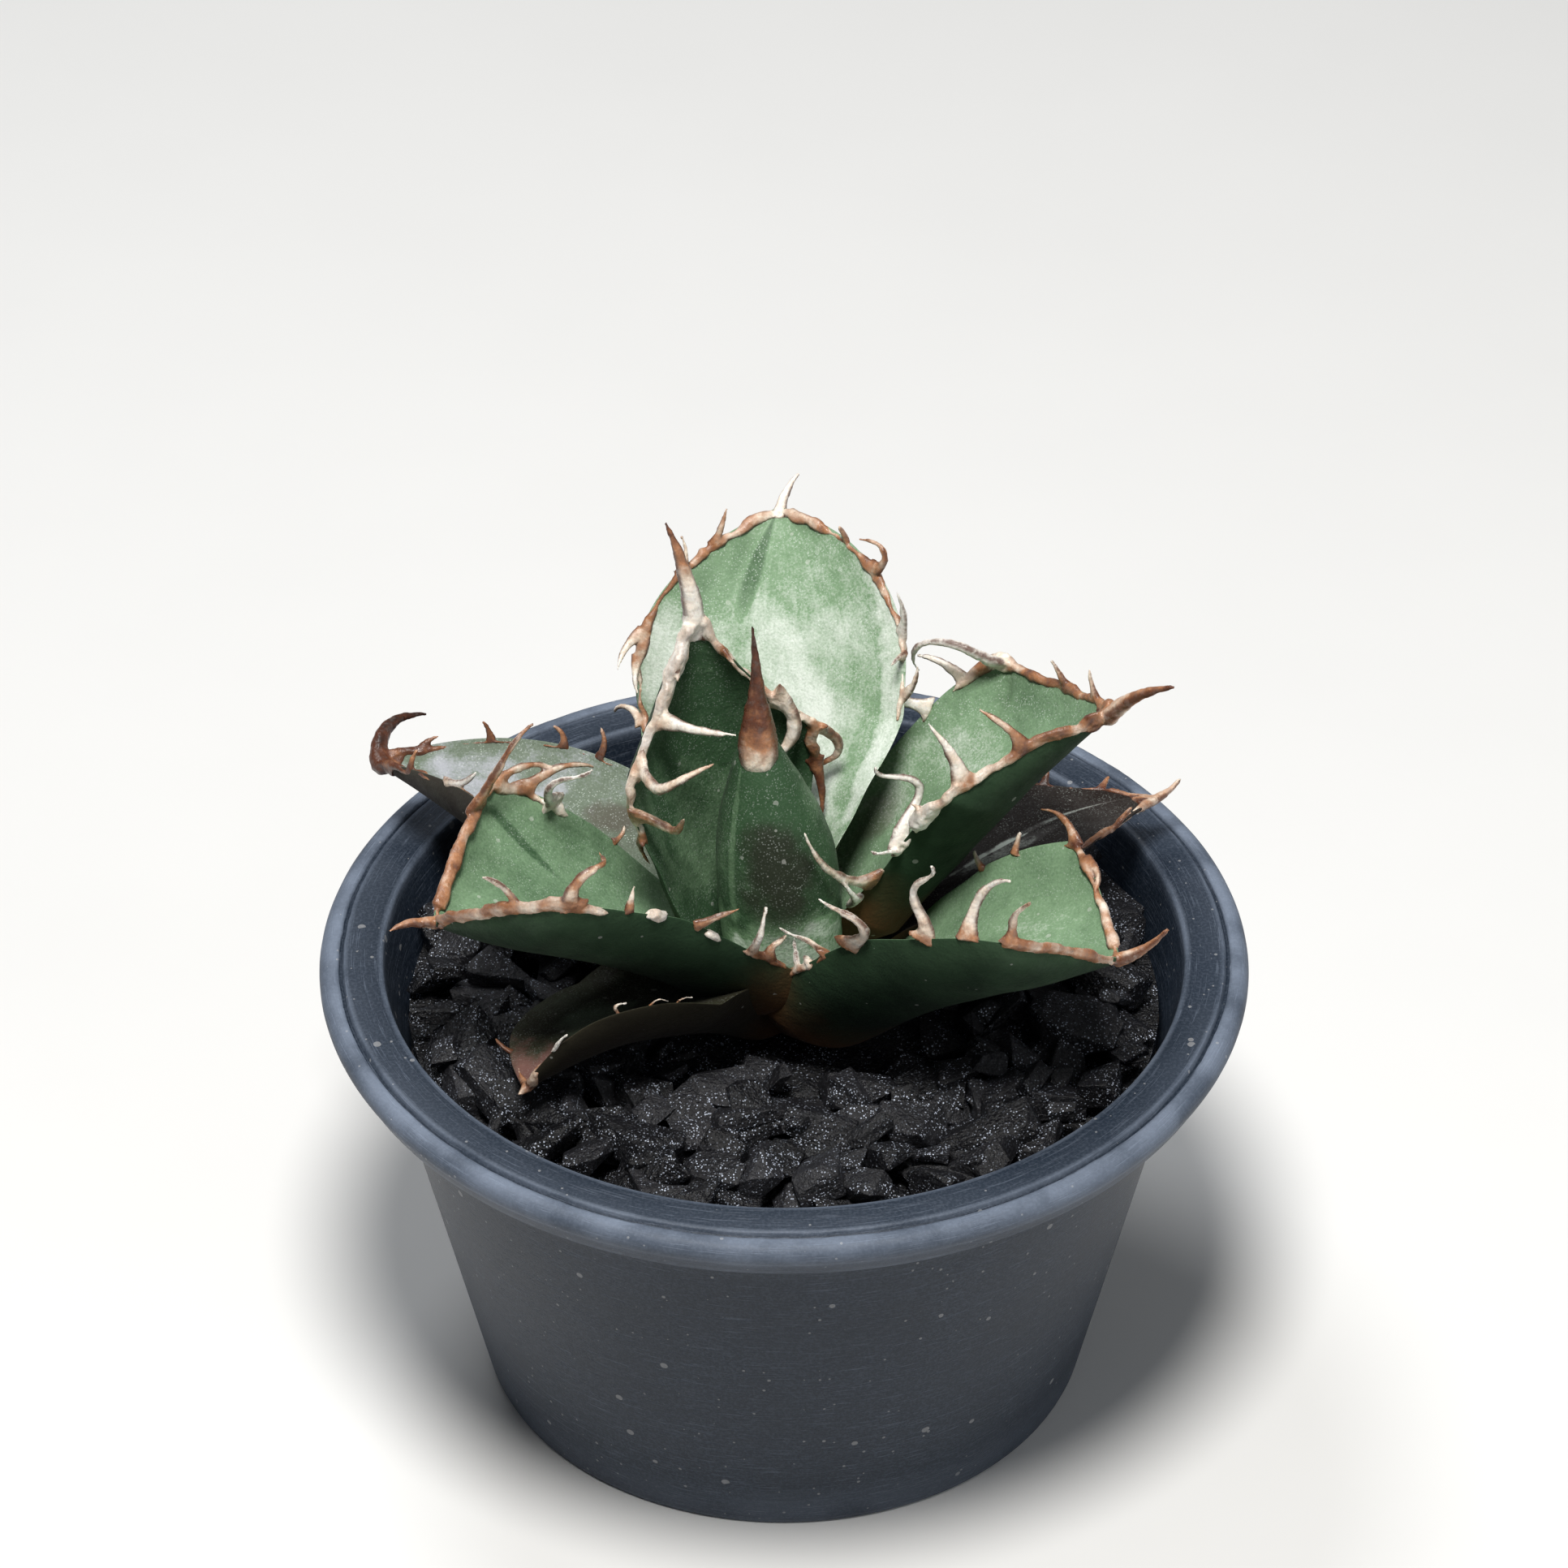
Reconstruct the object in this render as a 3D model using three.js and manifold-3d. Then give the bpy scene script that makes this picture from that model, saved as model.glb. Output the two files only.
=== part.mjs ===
// A potted agave titanota: a rosette of nine leaves round a rolled bud, each leaf edged with a
// horny margin that grows into curled teeth and a terminal spine. It stands in a round plastic
// pot of the shallow kind, in soil topped with angular dark gravel.
// Millimetres, +Z up, origin at the middle of the pot's foot, +Y to the back of the plant.

import * as THREE from "three";
import { ConvexGeometry } from "three/addons/geometries/ConvexGeometry.js";
import { mergeVertices } from "three/addons/utils/BufferGeometryUtils.js";
import Module from "manifold-3d";

const wasm = await Module();
wasm.setup();

// Driving dimensions

const POT_HEIGHT = 80;
const POT_RADIUS = 75;
const MOUTH_RADIUS = 64.6;
const FOOT_RADIUS = 50;
const WALL = 2;
const FLOOR_THICKNESS = 3;
const RIM_BAND_DEPTH = 7;
const BEAD_WIDTH = 3;
const BEAD_DROP = 0.3;
const BEAD_SHOULDER = [1.4, 2.2];
const BEAD_UNDERCUT = [2, 2.5];
const GROOVE_WIDTH = 0.7;
const GROOVE_DEPTH = 0.9;
const MOUTH_LIP = 0.4;
const FOOT_CHAMFER = 1.5;
const POT_SIDES = 40;
const DRAIN_HOLES = 6;
const DRAIN_RADIUS = 4;
const DRAIN_RING_RADIUS = 32;
const DRAIN_SIDES = 12;

const SOIL_TOP = POT_HEIGHT - 14;
const STEM_BOTTOM = POT_HEIGHT - 40;
const STEM_RADIUS = 6;
const CROWN_RADIUS = 11;
const CROWN_TOP = POT_HEIGHT + 3;
const CROWN_SIDES = 20;

const GRAVEL_BED_TOP = POT_HEIGHT - 10;
const GRAVEL_TOP = POT_HEIGHT - 4.4;
const FILL_SIDES = 32;
const STONE_COUNT = 84;
const STONE_LENGTH = 18;
const STONE_CORNERS = 8;
const STONE_TILT = 0.38;
const STONE_SEED = 41;
const GOLDEN_ANGLE = Math.PI * (3 - Math.sqrt(5));

const GAP = 0.3;
const BLADE_EDGE = 0.8;
const BLADE_ROWS = 11;
const BLADE_COLUMNS = 6;
const BLADE_ROOT = 11;
const MARGIN_RADIUS = 1.05;
const MARGIN_KNOB = 1.2;
const MARGIN_WAIST = 0.75;
const MARGIN_INSET = 0.35;
const BLADE_INSET = MARGIN_INSET + MARGIN_RADIUS * MARGIN_KNOB + GAP;
const TOOTH_RADIUS = 1.35;
const TOOTH_TIP_RADIUS = 0.22;
const SPINE_RADIUS = 2;
const TIP_CLEARANCE = 0.15;
const SMOOTHING = [0.08, 0.06, 0.04, 0.02, 0.01];

// Leaves, from the youngest to the oldest. Lengths are in millimetres and angles in degrees.
// base is measured from the middle of the rim's plane. azimuth, rise and roll hold the values
// at the leaf's base and at its tip; cup is the half angle of the cross-section's arc at the
// base, the middle and the tip. margin says where the horny edge starts on each side.
// A tooth is [side, place, length, sweep at root and tip, lift at root and tip, wave]: side is
// 1 for the left edge and -1 for the right one, place runs from 0 at the base to 1 at the tip,
// sweep turns towards the leaf's tip, and lift towards its upper face. A spine is [length,
// turn to the left at root and tip, lift at root and tip].

const LEFT = 1;
const RIGHT = -1;

const LEAVES = [
  {
    name: "inner_left",
    base: [-6.5, 1, 3],
    azimuth: [137, 125],
    rise: [66, 92],
    roll: [-7, -15],
    cup: [48, 43, 70],
    length: 57.5,
    width: 38,
    thickness: 7,
    widest: 0.62,
    bluntness: 0.82,
    margin: { [LEFT]: 0.4, [RIGHT]: 0.4 },
    teeth: [
      [LEFT, 0.77, 15.5, -10, 35, 60, 65, 0],
      [LEFT, 0.66, 19, -30, 75, 40, 50, -35],
      [LEFT, 0.52, 14.5, -30, 40, 75, 25, -40],
      [RIGHT, 0.73, 19, -60, -260, 0, 65, 0],
      [RIGHT, 0.6, 17, -85, -115, -50, 45, 40],
      [RIGHT, 0.47, 12, -60, -90, 10, 30, 0],
    ],
    spine: [18, 5, 20, -5, -15],
    seed: 3,
  },
  {
    name: "right",
    base: [12.5, 6, 8.5],
    azimuth: [10, -38],
    rise: [48, 41],
    roll: [-6, 6],
    cup: [48, 56, 47],
    length: 57,
    width: 42,
    thickness: 9.5,
    widest: 0.6,
    bluntness: 0.82,
    margin: { [LEFT]: 0.28, [RIGHT]: 0.1 },
    teeth: [
      [LEFT, 0.6, 22, 10, -160, 30, -60, -15],
      [LEFT, 0.5, 9.5, -5, -55, 15, -10, 0],
      [LEFT, 0.39, 14.5, -20, -65, 25, 35, 0],
      [RIGHT, 0.79, 10.5, 15, -75, 25, 65, 0],
      [RIGHT, 0.64, 12, -5, -5, 40, 55, 0],
      [RIGHT, 0.31, 20, 50, 75, 45, 10, 85],
      [RIGHT, 0.14, 20, -10, 50, 0, 40, 0],
    ],
    spine: [15.5, 5, 0, 15, -15],
    seed: 5,
  },
  {
    name: "front_left",
    base: [-7.5, -9, 2],
    azimuth: [203, 190.5],
    rise: [40, 8],
    roll: [17, 7],
    cup: [32, 61, 73],
    length: 55,
    width: 54,
    thickness: 6.5,
    widest: 0.77,
    bluntness: 1.5,
    margin: { [LEFT]: 0.14, [RIGHT]: 0.3 },
    teeth: [
      [LEFT, 0.86, 9, -5, 20, 35, -15, 0],
      [LEFT, 0.75, 17, 45, -200, -5, 70, 5],
      [LEFT, 0.42, 7.5, -30, -30, 5, 5, 0],
      [LEFT, 0.22, 8, 60, -20, 10, 20, 0],
      [RIGHT, 0.85, 17.5, -20, -115, 70, 30, -10],
      [RIGHT, 0.77, 11, -35, -115, 15, 20, 0],
      [RIGHT, 0.68, 14, -20, -90, 25, -20, 0],
      [RIGHT, 0.58, 17, 55, 0, 55, 40, 70],
    ],
    spine: [8, 0, 30, 10, -15],
    seed: 7,
  },
  {
    name: "rear",
    base: [-4, 9, 4],
    azimuth: [81, 91],
    rise: [60, 31],
    roll: [-30, -11],
    cup: [48, 6, 45],
    length: 64,
    width: 48,
    thickness: 7.5,
    widest: 0.5,
    bluntness: 2.1,
    margin: { [LEFT]: 0.36, [RIGHT]: 0.4 },
    teeth: [
      [LEFT, 0.9, 7, 65, 45, 25, 25, 0],
      [LEFT, 0.82, 7, 85, 15, 20, 15, 0],
      [LEFT, 0.67, 8, -45, -105, 20, 30, 0],
      [LEFT, 0.61, 6.5, -80, -120, 20, 20, 0],
      [LEFT, 0.42, 10, 80, -20, 5, -60, 0],
      [RIGHT, 0.88, 3.5, 15, 30, 40, 60, 0],
      [RIGHT, 0.8, 11, -45, 130, 25, 20, -25],
      [RIGHT, 0.64, 9, 25, 75, 30, 45, 0],
      [RIGHT, 0.59, 6, -40, -90, 70, 50, 0],
      [RIGHT, 0.5, 7, 15, 75, 20, 25, 0],
    ],
    spine: [8, -10, -35, -5, -20],
    seed: 11,
  },
  {
    name: "front_right",
    base: [9.5, -10, -1.5],
    azimuth: [-40, -10],
    rise: [43, 10],
    roll: [-11, -14],
    cup: [44, 66, 57],
    length: 54.5,
    width: 50,
    thickness: 9,
    widest: 0.75,
    bluntness: 1.75,
    margin: { [LEFT]: 0.36, [RIGHT]: 0.24 },
    teeth: [
      [RIGHT, 0.4, 17, 60, -15, -10, 5, 40],
      [RIGHT, 0.63, 19.5, 55, 10, 20, -10, -45],
      [RIGHT, 0.74, 16.5, 10, 75, 50, -20, 0],
      [RIGHT, 0.82, 12, 25, -25, 35, -25, -25],
      [RIGHT, 0.31, 9, -80, -35, 45, 0, 0],
      [LEFT, 0.79, 10, -40, -125, 15, 15, 0],
      [LEFT, 0.84, 7.5, 60, 130, 0, 10, 0],
    ],
    spine: [10, 0, 0, 15, 45],
    seed: 13,
  },
  {
    name: "outer_left",
    base: [-11, 4.5, 1],
    azimuth: [147, 161],
    rise: [14, 9],
    roll: [6, 15],
    cup: [50, 56, 70],
    length: 63,
    width: 35.5,
    thickness: 9,
    widest: 0.42,
    bluntness: 2.2,
    margin: { [LEFT]: 0.5, [RIGHT]: 0.32 },
    teeth: [
      [LEFT, 0.9, 4, -15, -40, 30, 40, 0],
      [LEFT, 0.78, 8, -90, -40, 5, 30, 0],
      [RIGHT, 0.61, 4.5, -10, 85, 20, 20, 0],
      [RIGHT, 0.52, 5.5, -25, 55, 15, 15, 0],
    ],
    spine: [17, -50, -145, 30, 0],
    seed: 17,
  },
  {
    name: "outer_right",
    base: [9.5, 5.5, 0],
    azimuth: [26, 21],
    rise: [24, -5],
    roll: [7, -17],
    cup: [40, 21, 6],
    length: 57.5,
    width: 31,
    thickness: 6,
    widest: 0.52,
    bluntness: 1.55,
    margin: { [LEFT]: 0.4, [RIGHT]: 0.45 },
    teeth: [],
    spine: [6, 10, 25, 15, 30],
    seed: 19,
  },
  {
    name: "low_front",
    base: [-5.5, -5.5, -4],
    azimuth: [220, 226],
    rise: [32, -17],
    roll: [6, 44],
    cup: [60, 12, 46],
    length: 50,
    width: 36,
    thickness: 8.5,
    widest: 0.56,
    bluntness: 2.1,
    margin: { [LEFT]: 0.5, [RIGHT]: 0.55 },
    teeth: [
      [LEFT, 0.92, 5, -60, -90, 10, -10, 0],
      [LEFT, 0.75, 4, -25, -55, 15, -10, 0],
      [LEFT, 0.68, 4.5, -35, -45, 10, -20, 0],
      [LEFT, 0.6, 4, -15, -25, 5, -20, 0],
    ],
    spine: [2.5, 20, 40, 5, 10],
    seed: 23,
  },
  {
    name: "low_rear",
    base: [-2, 9, -2],
    azimuth: [98, 90],
    rise: [22, 0],
    roll: [0, 4],
    cup: [45, 28, 40],
    length: 53,
    width: 32,
    thickness: 7,
    widest: 0.5,
    bluntness: 1.9,
    margin: { [LEFT]: 0.5, [RIGHT]: 0.4 },
    teeth: [],
    spine: [7, 5, 20, 10, 20],
    seed: 29,
  },
];

// The bud is a leaf still rolled round the growing point. Each ring is [x, y, height, radius].
const BUD_RINGS = [
  [-0.5, -5, 1, 8.6],
  [-0.6, -4.8, 8, 9.6],
  [-1, -4.4, 16, 9.8],
  [-1.6, -3.8, 23, 9.4],
  [-2.3, -3, 29, 8.2],
  [-3.1, -2.3, 34, 6.3],
  [-3.8, -1.7, 38.5, 4.5],
  [-4.2, -1.3, 42, 3],
  [-4.3, -1, 45, 1.6],
];
const BUD_SIDES = 16;
const BUD_OVERLAP = 0.12;
const BUD_TURN = 0.985;
const BUD_SEAM_ANGLE = 70;
const BUD_SPINE_SIDES = 8;
// The bud's spine: [x, y, height, radius].
const BUD_SPINE = [
  [-3.9, -4.3, 37.6, 0.9],
  [-4, -3.5, 40, 2.9],
  [-4.1, -2.4, 44, 3.2],
  [-4.2, -1.6, 48.5, 2.5],
  [-4.3, -0.8, 54, 1.5],
  [-4.6, 0.2, 59, 0.7],
  [-5, 1.2, 63, 0.15],
];

// Materials

const finish = (color, roughness) => {
  return new THREE.MeshStandardMaterial({ color, roughness, metalness: 0 });
};
const FINISH = {
  pot: () => finish(0x3c434d, 0.5),
  soil: () => finish(0x2a211b, 0.95),
  gravel: () => finish(0x2b2b2e, 0.8),
  crown: () => finish(0x8a6a35, 0.7),
  blade: () => finish(0x6f9878, 0.6),
  horn: () => finish(0xc9b092, 0.5),
};

// Helpers

const radians = THREE.MathUtils.degToRad;
const clamp = THREE.MathUtils.clamp;
const lerp = THREE.MathUtils.lerp;

/** A seeded generator of numbers from 0 to 1. */
function seeded(seed) {
  let state = seed >>> 0;
  return () => {
    state = (Math.imul(1664525, state) + 1013904223) >>> 0;
    return state / 4294967296;
  };
}

/** A value along three stations at the base, the middle and the tip of a leaf. */
function alongThree([base, middle, tip], s) {
  const MIDDLE = 0.45;
  return s < MIDDLE
    ? lerp(base, middle, s / MIDDLE)
    : lerp(middle, tip, (s - MIDDLE) / (1 - MIDDLE));
}

/** A manifold solid from a closed three.js geometry. */
function solidFromGeometry(geometry) {
  const bare = geometry.clone();
  bare.deleteAttribute("normal");
  bare.deleteAttribute("uv");
  const merged = mergeVertices(bare, 1e-4);
  return new wasm.Manifold(
    new wasm.Mesh({
      numProp: 3,
      vertProperties: new Float32Array(merged.attributes.position.array),
      triVerts: new Uint32Array(merged.index.array),
    })
  );
}

/** A manifold solid from a list of points and triangles. */
function solidFromFaces(points, faces) {
  return new wasm.Manifold(
    new wasm.Mesh({
      numProp: 3,
      vertProperties: new Float32Array(points.flatMap((p) => [p.x, p.y, p.z])),
      triVerts: new Uint32Array(faces.flat()),
    })
  );
}

/** The largest body of a solid, without the loose scraps that a cut leaves. */
function largestBody(solid) {
  const bodies = solid.decompose();
  bodies.sort((a, b) => b.volume() - a.volume());
  return bodies[0];
}

/** A three.js geometry from a manifold solid. */
function geometryFromSolid(solid) {
  const mesh = solid.getMesh();
  const geometry = new THREE.BufferGeometry();
  geometry.setAttribute("position", new THREE.BufferAttribute(mesh.vertProperties, 3));
  geometry.setIndex(new THREE.BufferAttribute(mesh.triVerts, 1));
  geometry.computeVertexNormals();
  return geometry;
}

/** Triangles that join two rings of equal length, with the first ring below the second. */
function ringWall(first, second, count) {
  const faces = [];
  for (let i = 0; i < count; i++) {
    const next = (i + 1) % count;
    faces.push([first + i, first + next, second + next]);
    faces.push([first + i, second + next, second + i]);
  }
  return faces;
}

/** A solid through rings of points, closed with a fan at each end. */
function solidThroughRings(rings) {
  const count = rings[0].length;
  const points = rings.flat();
  const faces = [];
  for (let k = 0; k + 1 < rings.length; k++) {
    faces.push(...ringWall(k * count, (k + 1) * count, count));
  }
  const last = (rings.length - 1) * count;
  for (let i = 1; i + 1 < count; i++) {
    faces.push([0, i + 1, i]);
    faces.push([last, last + i, last + i + 1]);
  }
  return solidFromFaces(points, faces);
}

/**
 * A tapered rod along a line of points, with a section of a few sides.
 * up gives the direction of the section's first corner, and grow widens the rod all round.
 */
function taperedRod(line, radii, sides, up, grow = 0) {
  const extra = grow / Math.cos(Math.PI / sides);
  const rings = line.map((point, k) => {
    const before = line[Math.max(k - 1, 0)];
    const after = line[Math.min(k + 1, line.length - 1)];
    const along = after.clone().sub(before).normalize();
    const side = new THREE.Vector3().crossVectors(along, up[k]).normalize();
    const top = new THREE.Vector3().crossVectors(side, along);
    const radius = radii[k] + extra;
    let centre = point;
    if (k === 0) centre = point.clone().addScaledVector(along, -grow);
    if (k === line.length - 1) centre = point.clone().addScaledVector(along, grow);
    const ring = [];
    for (let i = 0; i < sides; i++) {
      const angle = (2 * Math.PI * i) / sides;
      ring.push(
        centre
          .clone()
          .addScaledVector(top, radius * Math.cos(angle))
          .addScaledVector(side, radius * Math.sin(angle))
      );
    }
    return ring;
  });
  return solidThroughRings(rings);
}

/** The points of a line that starts at a point and turns through directions given by a rule. */
function walk(start, length, steps, directionAt) {
  const line = [start.clone()];
  for (let k = 0; k < steps; k++) {
    const direction = directionAt((k + 0.5) / steps);
    const last = line[line.length - 1];
    line.push(last.clone().addScaledVector(direction, length / steps));
  }
  return line;
}

// Leaf surface

/** Half the leaf's width at s, measured along its curved cross-section. */
function halfWidth(leaf, s) {
  const NECK = 0.68;
  const FLARE = 0.02;
  const FLARE_END = 0.22;
  const TIP_SHARE = 0.04;
  const half = leaf.width / 2;
  if (s >= leaf.widest) {
    const past = (s - leaf.widest) / (1 - leaf.widest);
    return half * (TIP_SHARE + (1 - TIP_SHARE) * (1 - Math.pow(past, leaf.bluntness)));
  }
  const rising = clamp(s / leaf.widest, 0, 1);
  const swell = NECK + (1 - NECK) * rising * rising * (3 - 2 * rising);
  const flare = FLARE * Math.pow(clamp(1 - s / FLARE_END, 0, 1), 2);
  return half * (swell + flare);
}

/** The leaf's thickness at its midrib. */
function midThickness(leaf, s) {
  const THIN = 0.9;
  const KEPT = 0.92;
  const THINNING_POWER = 1.3;
  return THIN + (leaf.thickness - THIN) * KEPT * (1 - Math.pow(clamp(s, 0, 1), THINNING_POWER));
}

/** The leaf's middle line: a point and three directions at each small step of s. */
function midrib(leaf) {
  const STEPS = 60;
  const BEND_POWER = 1.3;
  const stations = [];
  const point = new THREE.Vector3(...leaf.base);
  point.z += POT_HEIGHT;
  let before = null;
  for (let k = 0; k <= STEPS; k++) {
    const s = k / STEPS;
    const azimuth = radians(lerp(leaf.azimuth[0], leaf.azimuth[1], Math.pow(s, BEND_POWER)));
    const rise = radians(lerp(leaf.rise[0], leaf.rise[1], s));
    const roll = radians(lerp(leaf.roll[0], leaf.roll[1], s));
    const along = new THREE.Vector3(
      Math.cos(rise) * Math.cos(azimuth),
      Math.cos(rise) * Math.sin(azimuth),
      Math.sin(rise)
    );
    const level = new THREE.Vector3(-Math.sin(azimuth), Math.cos(azimuth), 0);
    const raised = new THREE.Vector3().crossVectors(along, level);
    const left = level.multiplyScalar(Math.cos(roll)).addScaledVector(raised, Math.sin(roll));
    const up = new THREE.Vector3().crossVectors(along, left);
    if (before) {
      const step = leaf.length / STEPS / 2;
      point.addScaledVector(before, step).addScaledVector(along, step);
    }
    stations.push({ point: point.clone(), along, left, up });
    before = along;
  }
  return stations;
}

/** The middle line's point and directions at s; below 0 it runs straight into the crown. */
function midribAt(leaf, s) {
  leaf.stations ??= midrib(leaf);
  const steps = leaf.stations.length - 1;
  const place = clamp(s, 0, 1) * steps;
  const low = Math.min(Math.floor(place), steps - 1);
  const share = place - low;
  const mix = (key) => {
    return leaf.stations[low][key].clone().lerp(leaf.stations[low + 1][key], share);
  };
  const along = mix("along").normalize();
  const point = mix("point");
  if (s < 0) point.addScaledVector(along, s * leaf.length);
  return { point, along, left: mix("left").normalize(), up: mix("up").normalize() };
}

/**
 * A point of the leaf at s along it and t across it, from -1 at the right edge to 1 at the
 * left one, with the direction out of its upper face.
 */
function leafPoint(leaf, s, t, grow = 0) {
  const ROOT_NARROWING = 0.45;
  const { point, left, up } = midribAt(leaf, s);
  const rootShare = clamp((-s * leaf.length) / BLADE_ROOT, 0, 1);
  const half = halfWidth(leaf, Math.max(s, 0)) * (1 - ROOT_NARROWING * rootShare);
  const cup = radians(alongThree(leaf.cup, clamp(s, 0, 1)));
  const turn = (cup * t * (half + grow)) / half;
  const radius = half / cup;
  const place = point
    .clone()
    .addScaledVector(left, radius * Math.sin(turn))
    .addScaledVector(up, radius * (1 - Math.cos(turn)));
  const out = up
    .clone()
    .multiplyScalar(Math.cos(turn))
    .addScaledVector(left, -Math.sin(turn));
  return { place, out };
}

/** The station near the tip where the blade ends and its spine takes over. */
function bladeEnd(leaf) {
  const END_HALF_WIDTH = 3.7;
  let s = 1;
  while (halfWidth(leaf, s) < END_HALF_WIDTH) s -= 0.005;
  return s;
}

/** The stations along a blade: two in its root, and then closer together towards its tip. */
function bladePlaces(leaf) {
  const CROWDING = 0.25;
  const rootStart = -BLADE_ROOT / leaf.length;
  const end = bladeEnd(leaf);
  const places = [rootStart, rootStart / 2];
  for (let k = 0; k < BLADE_ROWS; k++) {
    const share = k / (BLADE_ROWS - 1);
    places.push(end * share * (1 + CROWDING - CROWDING * share));
  }
  return places;
}

/** The stations of a blade that have a horny margin on one side. */
function marginPlaces(leaf, side) {
  const places = bladePlaces(leaf);
  return places.filter((s, k) => s >= leaf.margin[side] || places[k + 1] > leaf.margin[side]);
}

/**
 * A row of points across the upper face at s, drawn in from each horny margin to leave it room,
 * with the direction out of the face at each point.
 */
function bladeRow(leaf, s, grow) {
  const EDGE_POWER = 4;
  const LEAST_SIDEWAYS = 0.3;
  const shift = {};
  const reach = {};
  for (const side of [LEFT, RIGHT]) {
    const hasMargin = s >= marginPlaces(leaf, side)[0];
    const inset = (hasMargin ? BLADE_INSET : 0) - grow;
    const edge = marginAt(leaf, side, Math.min(s, 1));
    const half = halfWidth(leaf, Math.max(s, 0));
    const sideways = edge.outward.dot(midribAt(leaf, s).left) * side;
    reach[side] = 1 - (inset * clamp(sideways, LEAST_SIDEWAYS, 1)) / half;
    const edgePlace = leafPoint(leaf, s, side).place.addScaledVector(edge.outward, -inset);
    shift[side] = edgePlace.sub(leafPoint(leaf, s, side * reach[side]).place);
  }
  const row = [];
  for (let k = 0; k <= BLADE_COLUMNS; k++) {
    const t = -1 + (2 * k) / BLADE_COLUMNS;
    const side = t < 0 ? RIGHT : LEFT;
    const { place, out } = leafPoint(leaf, s, t * reach[side]);
    place.addScaledVector(shift[side], Math.pow(Math.abs(t), EDGE_POWER));
    row.push({ place, out, t });
  }
  return row;
}

/** The leaf blade: an upper face, a lower face swollen along the midrib, and thin edges. */
function bladeSolid(leaf, grow = 0) {
  const SWELL_POWER = 2.2;
  const ROOT_THINNING = 0.5;
  const places = bladePlaces(leaf);
  places[places.length - 1] += grow / leaf.length;
  const upper = [];
  const lower = [];
  for (const s of places) {
    const rootShare = clamp((-s * leaf.length) / BLADE_ROOT, 0, 1);
    const middle = midThickness(leaf, s) * (1 - ROOT_THINNING * rootShare);
    for (const { place, out, t } of bladeRow(leaf, s, grow)) {
      const swell = 1 - Math.pow(Math.abs(t), SWELL_POWER);
      const thickness = BLADE_EDGE + (middle - BLADE_EDGE) * swell;
      upper.push(place.clone().addScaledVector(out, grow));
      lower.push(place.clone().addScaledVector(out, -thickness - grow));
    }
  }
  const wide = BLADE_COLUMNS + 1;
  const count = upper.length;
  const faces = [];
  const square = (a, b, c, d) => faces.push([a, b, c], [a, c, d]);
  for (let row = 0; row + 1 < places.length; row++) {
    const near = row * wide;
    const far = near + wide;
    for (let k = 0; k < BLADE_COLUMNS; k++) {
      square(near + k, far + k, far + k + 1, near + k + 1);
      square(count + near + k, count + near + k + 1, count + far + k + 1, count + far + k);
    }
    const edge = near + wide - 1;
    square(near, count + near, count + far, far);
    square(edge, edge + wide, count + edge + wide, count + edge);
  }
  const lastRow = (places.length - 1) * wide;
  for (let k = 0; k < BLADE_COLUMNS; k++) {
    const tip = lastRow + k;
    square(k, k + 1, count + k + 1, count + k);
    square(tip, count + tip, count + tip + 1, tip + 1);
  }
  return solidFromFaces([...upper, ...lower], faces);
}

/** The margin's point at s on one side, with its directions along, up and outwards. */
function marginAt(leaf, side, s) {
  const STEP = 0.01;
  const here = leafPoint(leaf, s, side);
  const before = leafPoint(leaf, s - STEP, side).place;
  const after = leafPoint(leaf, Math.min(s + STEP, 1), side).place;
  const along = after.sub(before).normalize();
  const up = here.out.clone().addScaledVector(along, -here.out.dot(along)).normalize();
  const outward = new THREE.Vector3().crossVectors(along, up).multiplyScalar(-side);
  const centre = here.place.clone().addScaledVector(here.out, -BLADE_EDGE / 2);
  return { centre, along, up, outward };
}

// Horny margin, teeth and terminal spine

/** The knobbly band that runs along one edge of a leaf, up to its tip. */
function marginBand(leaf, side, grow) {
  const BAND_SIDES = 4;
  const FADE = [0.4, 0.8];
  const LAST_PLACE = 0.985;
  const random = seeded(leaf.seed * 10 + (side === LEFT ? 1 : 2));
  const places = [...marginPlaces(leaf, side), LAST_PLACE];
  const line = [];
  const radii = [];
  const up = [];
  places.forEach((s, k) => {
    const edge = marginAt(leaf, side, s);
    const knob = lerp(MARGIN_WAIST, MARGIN_KNOB, random());
    line.push(edge.centre.addScaledVector(edge.outward, -MARGIN_INSET));
    radii.push(MARGIN_RADIUS * knob * (FADE[k] ?? 1));
    up.push(edge.up);
  });
  const tip = midribAt(leaf, 1);
  line.push(tip.point.clone().addScaledVector(tip.up, -BLADE_EDGE / 2));
  radii.push(MARGIN_RADIUS * FADE[1]);
  up.push(tip.up);
  return taperedRod(line, radii, BAND_SIDES, up, grow);
}

/** The share of full girth that a tooth or spine of a length has, between two limits. */
function sizeFor(length, [base, lengthPerShare, least, most]) {
  return clamp(base + length / lengthPerShare, least, most);
}

/** The number of straight steps that draw a tooth or spine of a length. */
function stepsFor(length, fewest) {
  const LONG = 12;
  const MIDDLING = 6;
  if (length > LONG) return 5;
  return length > MIDDLING ? 3 : fewest;
}

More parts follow.
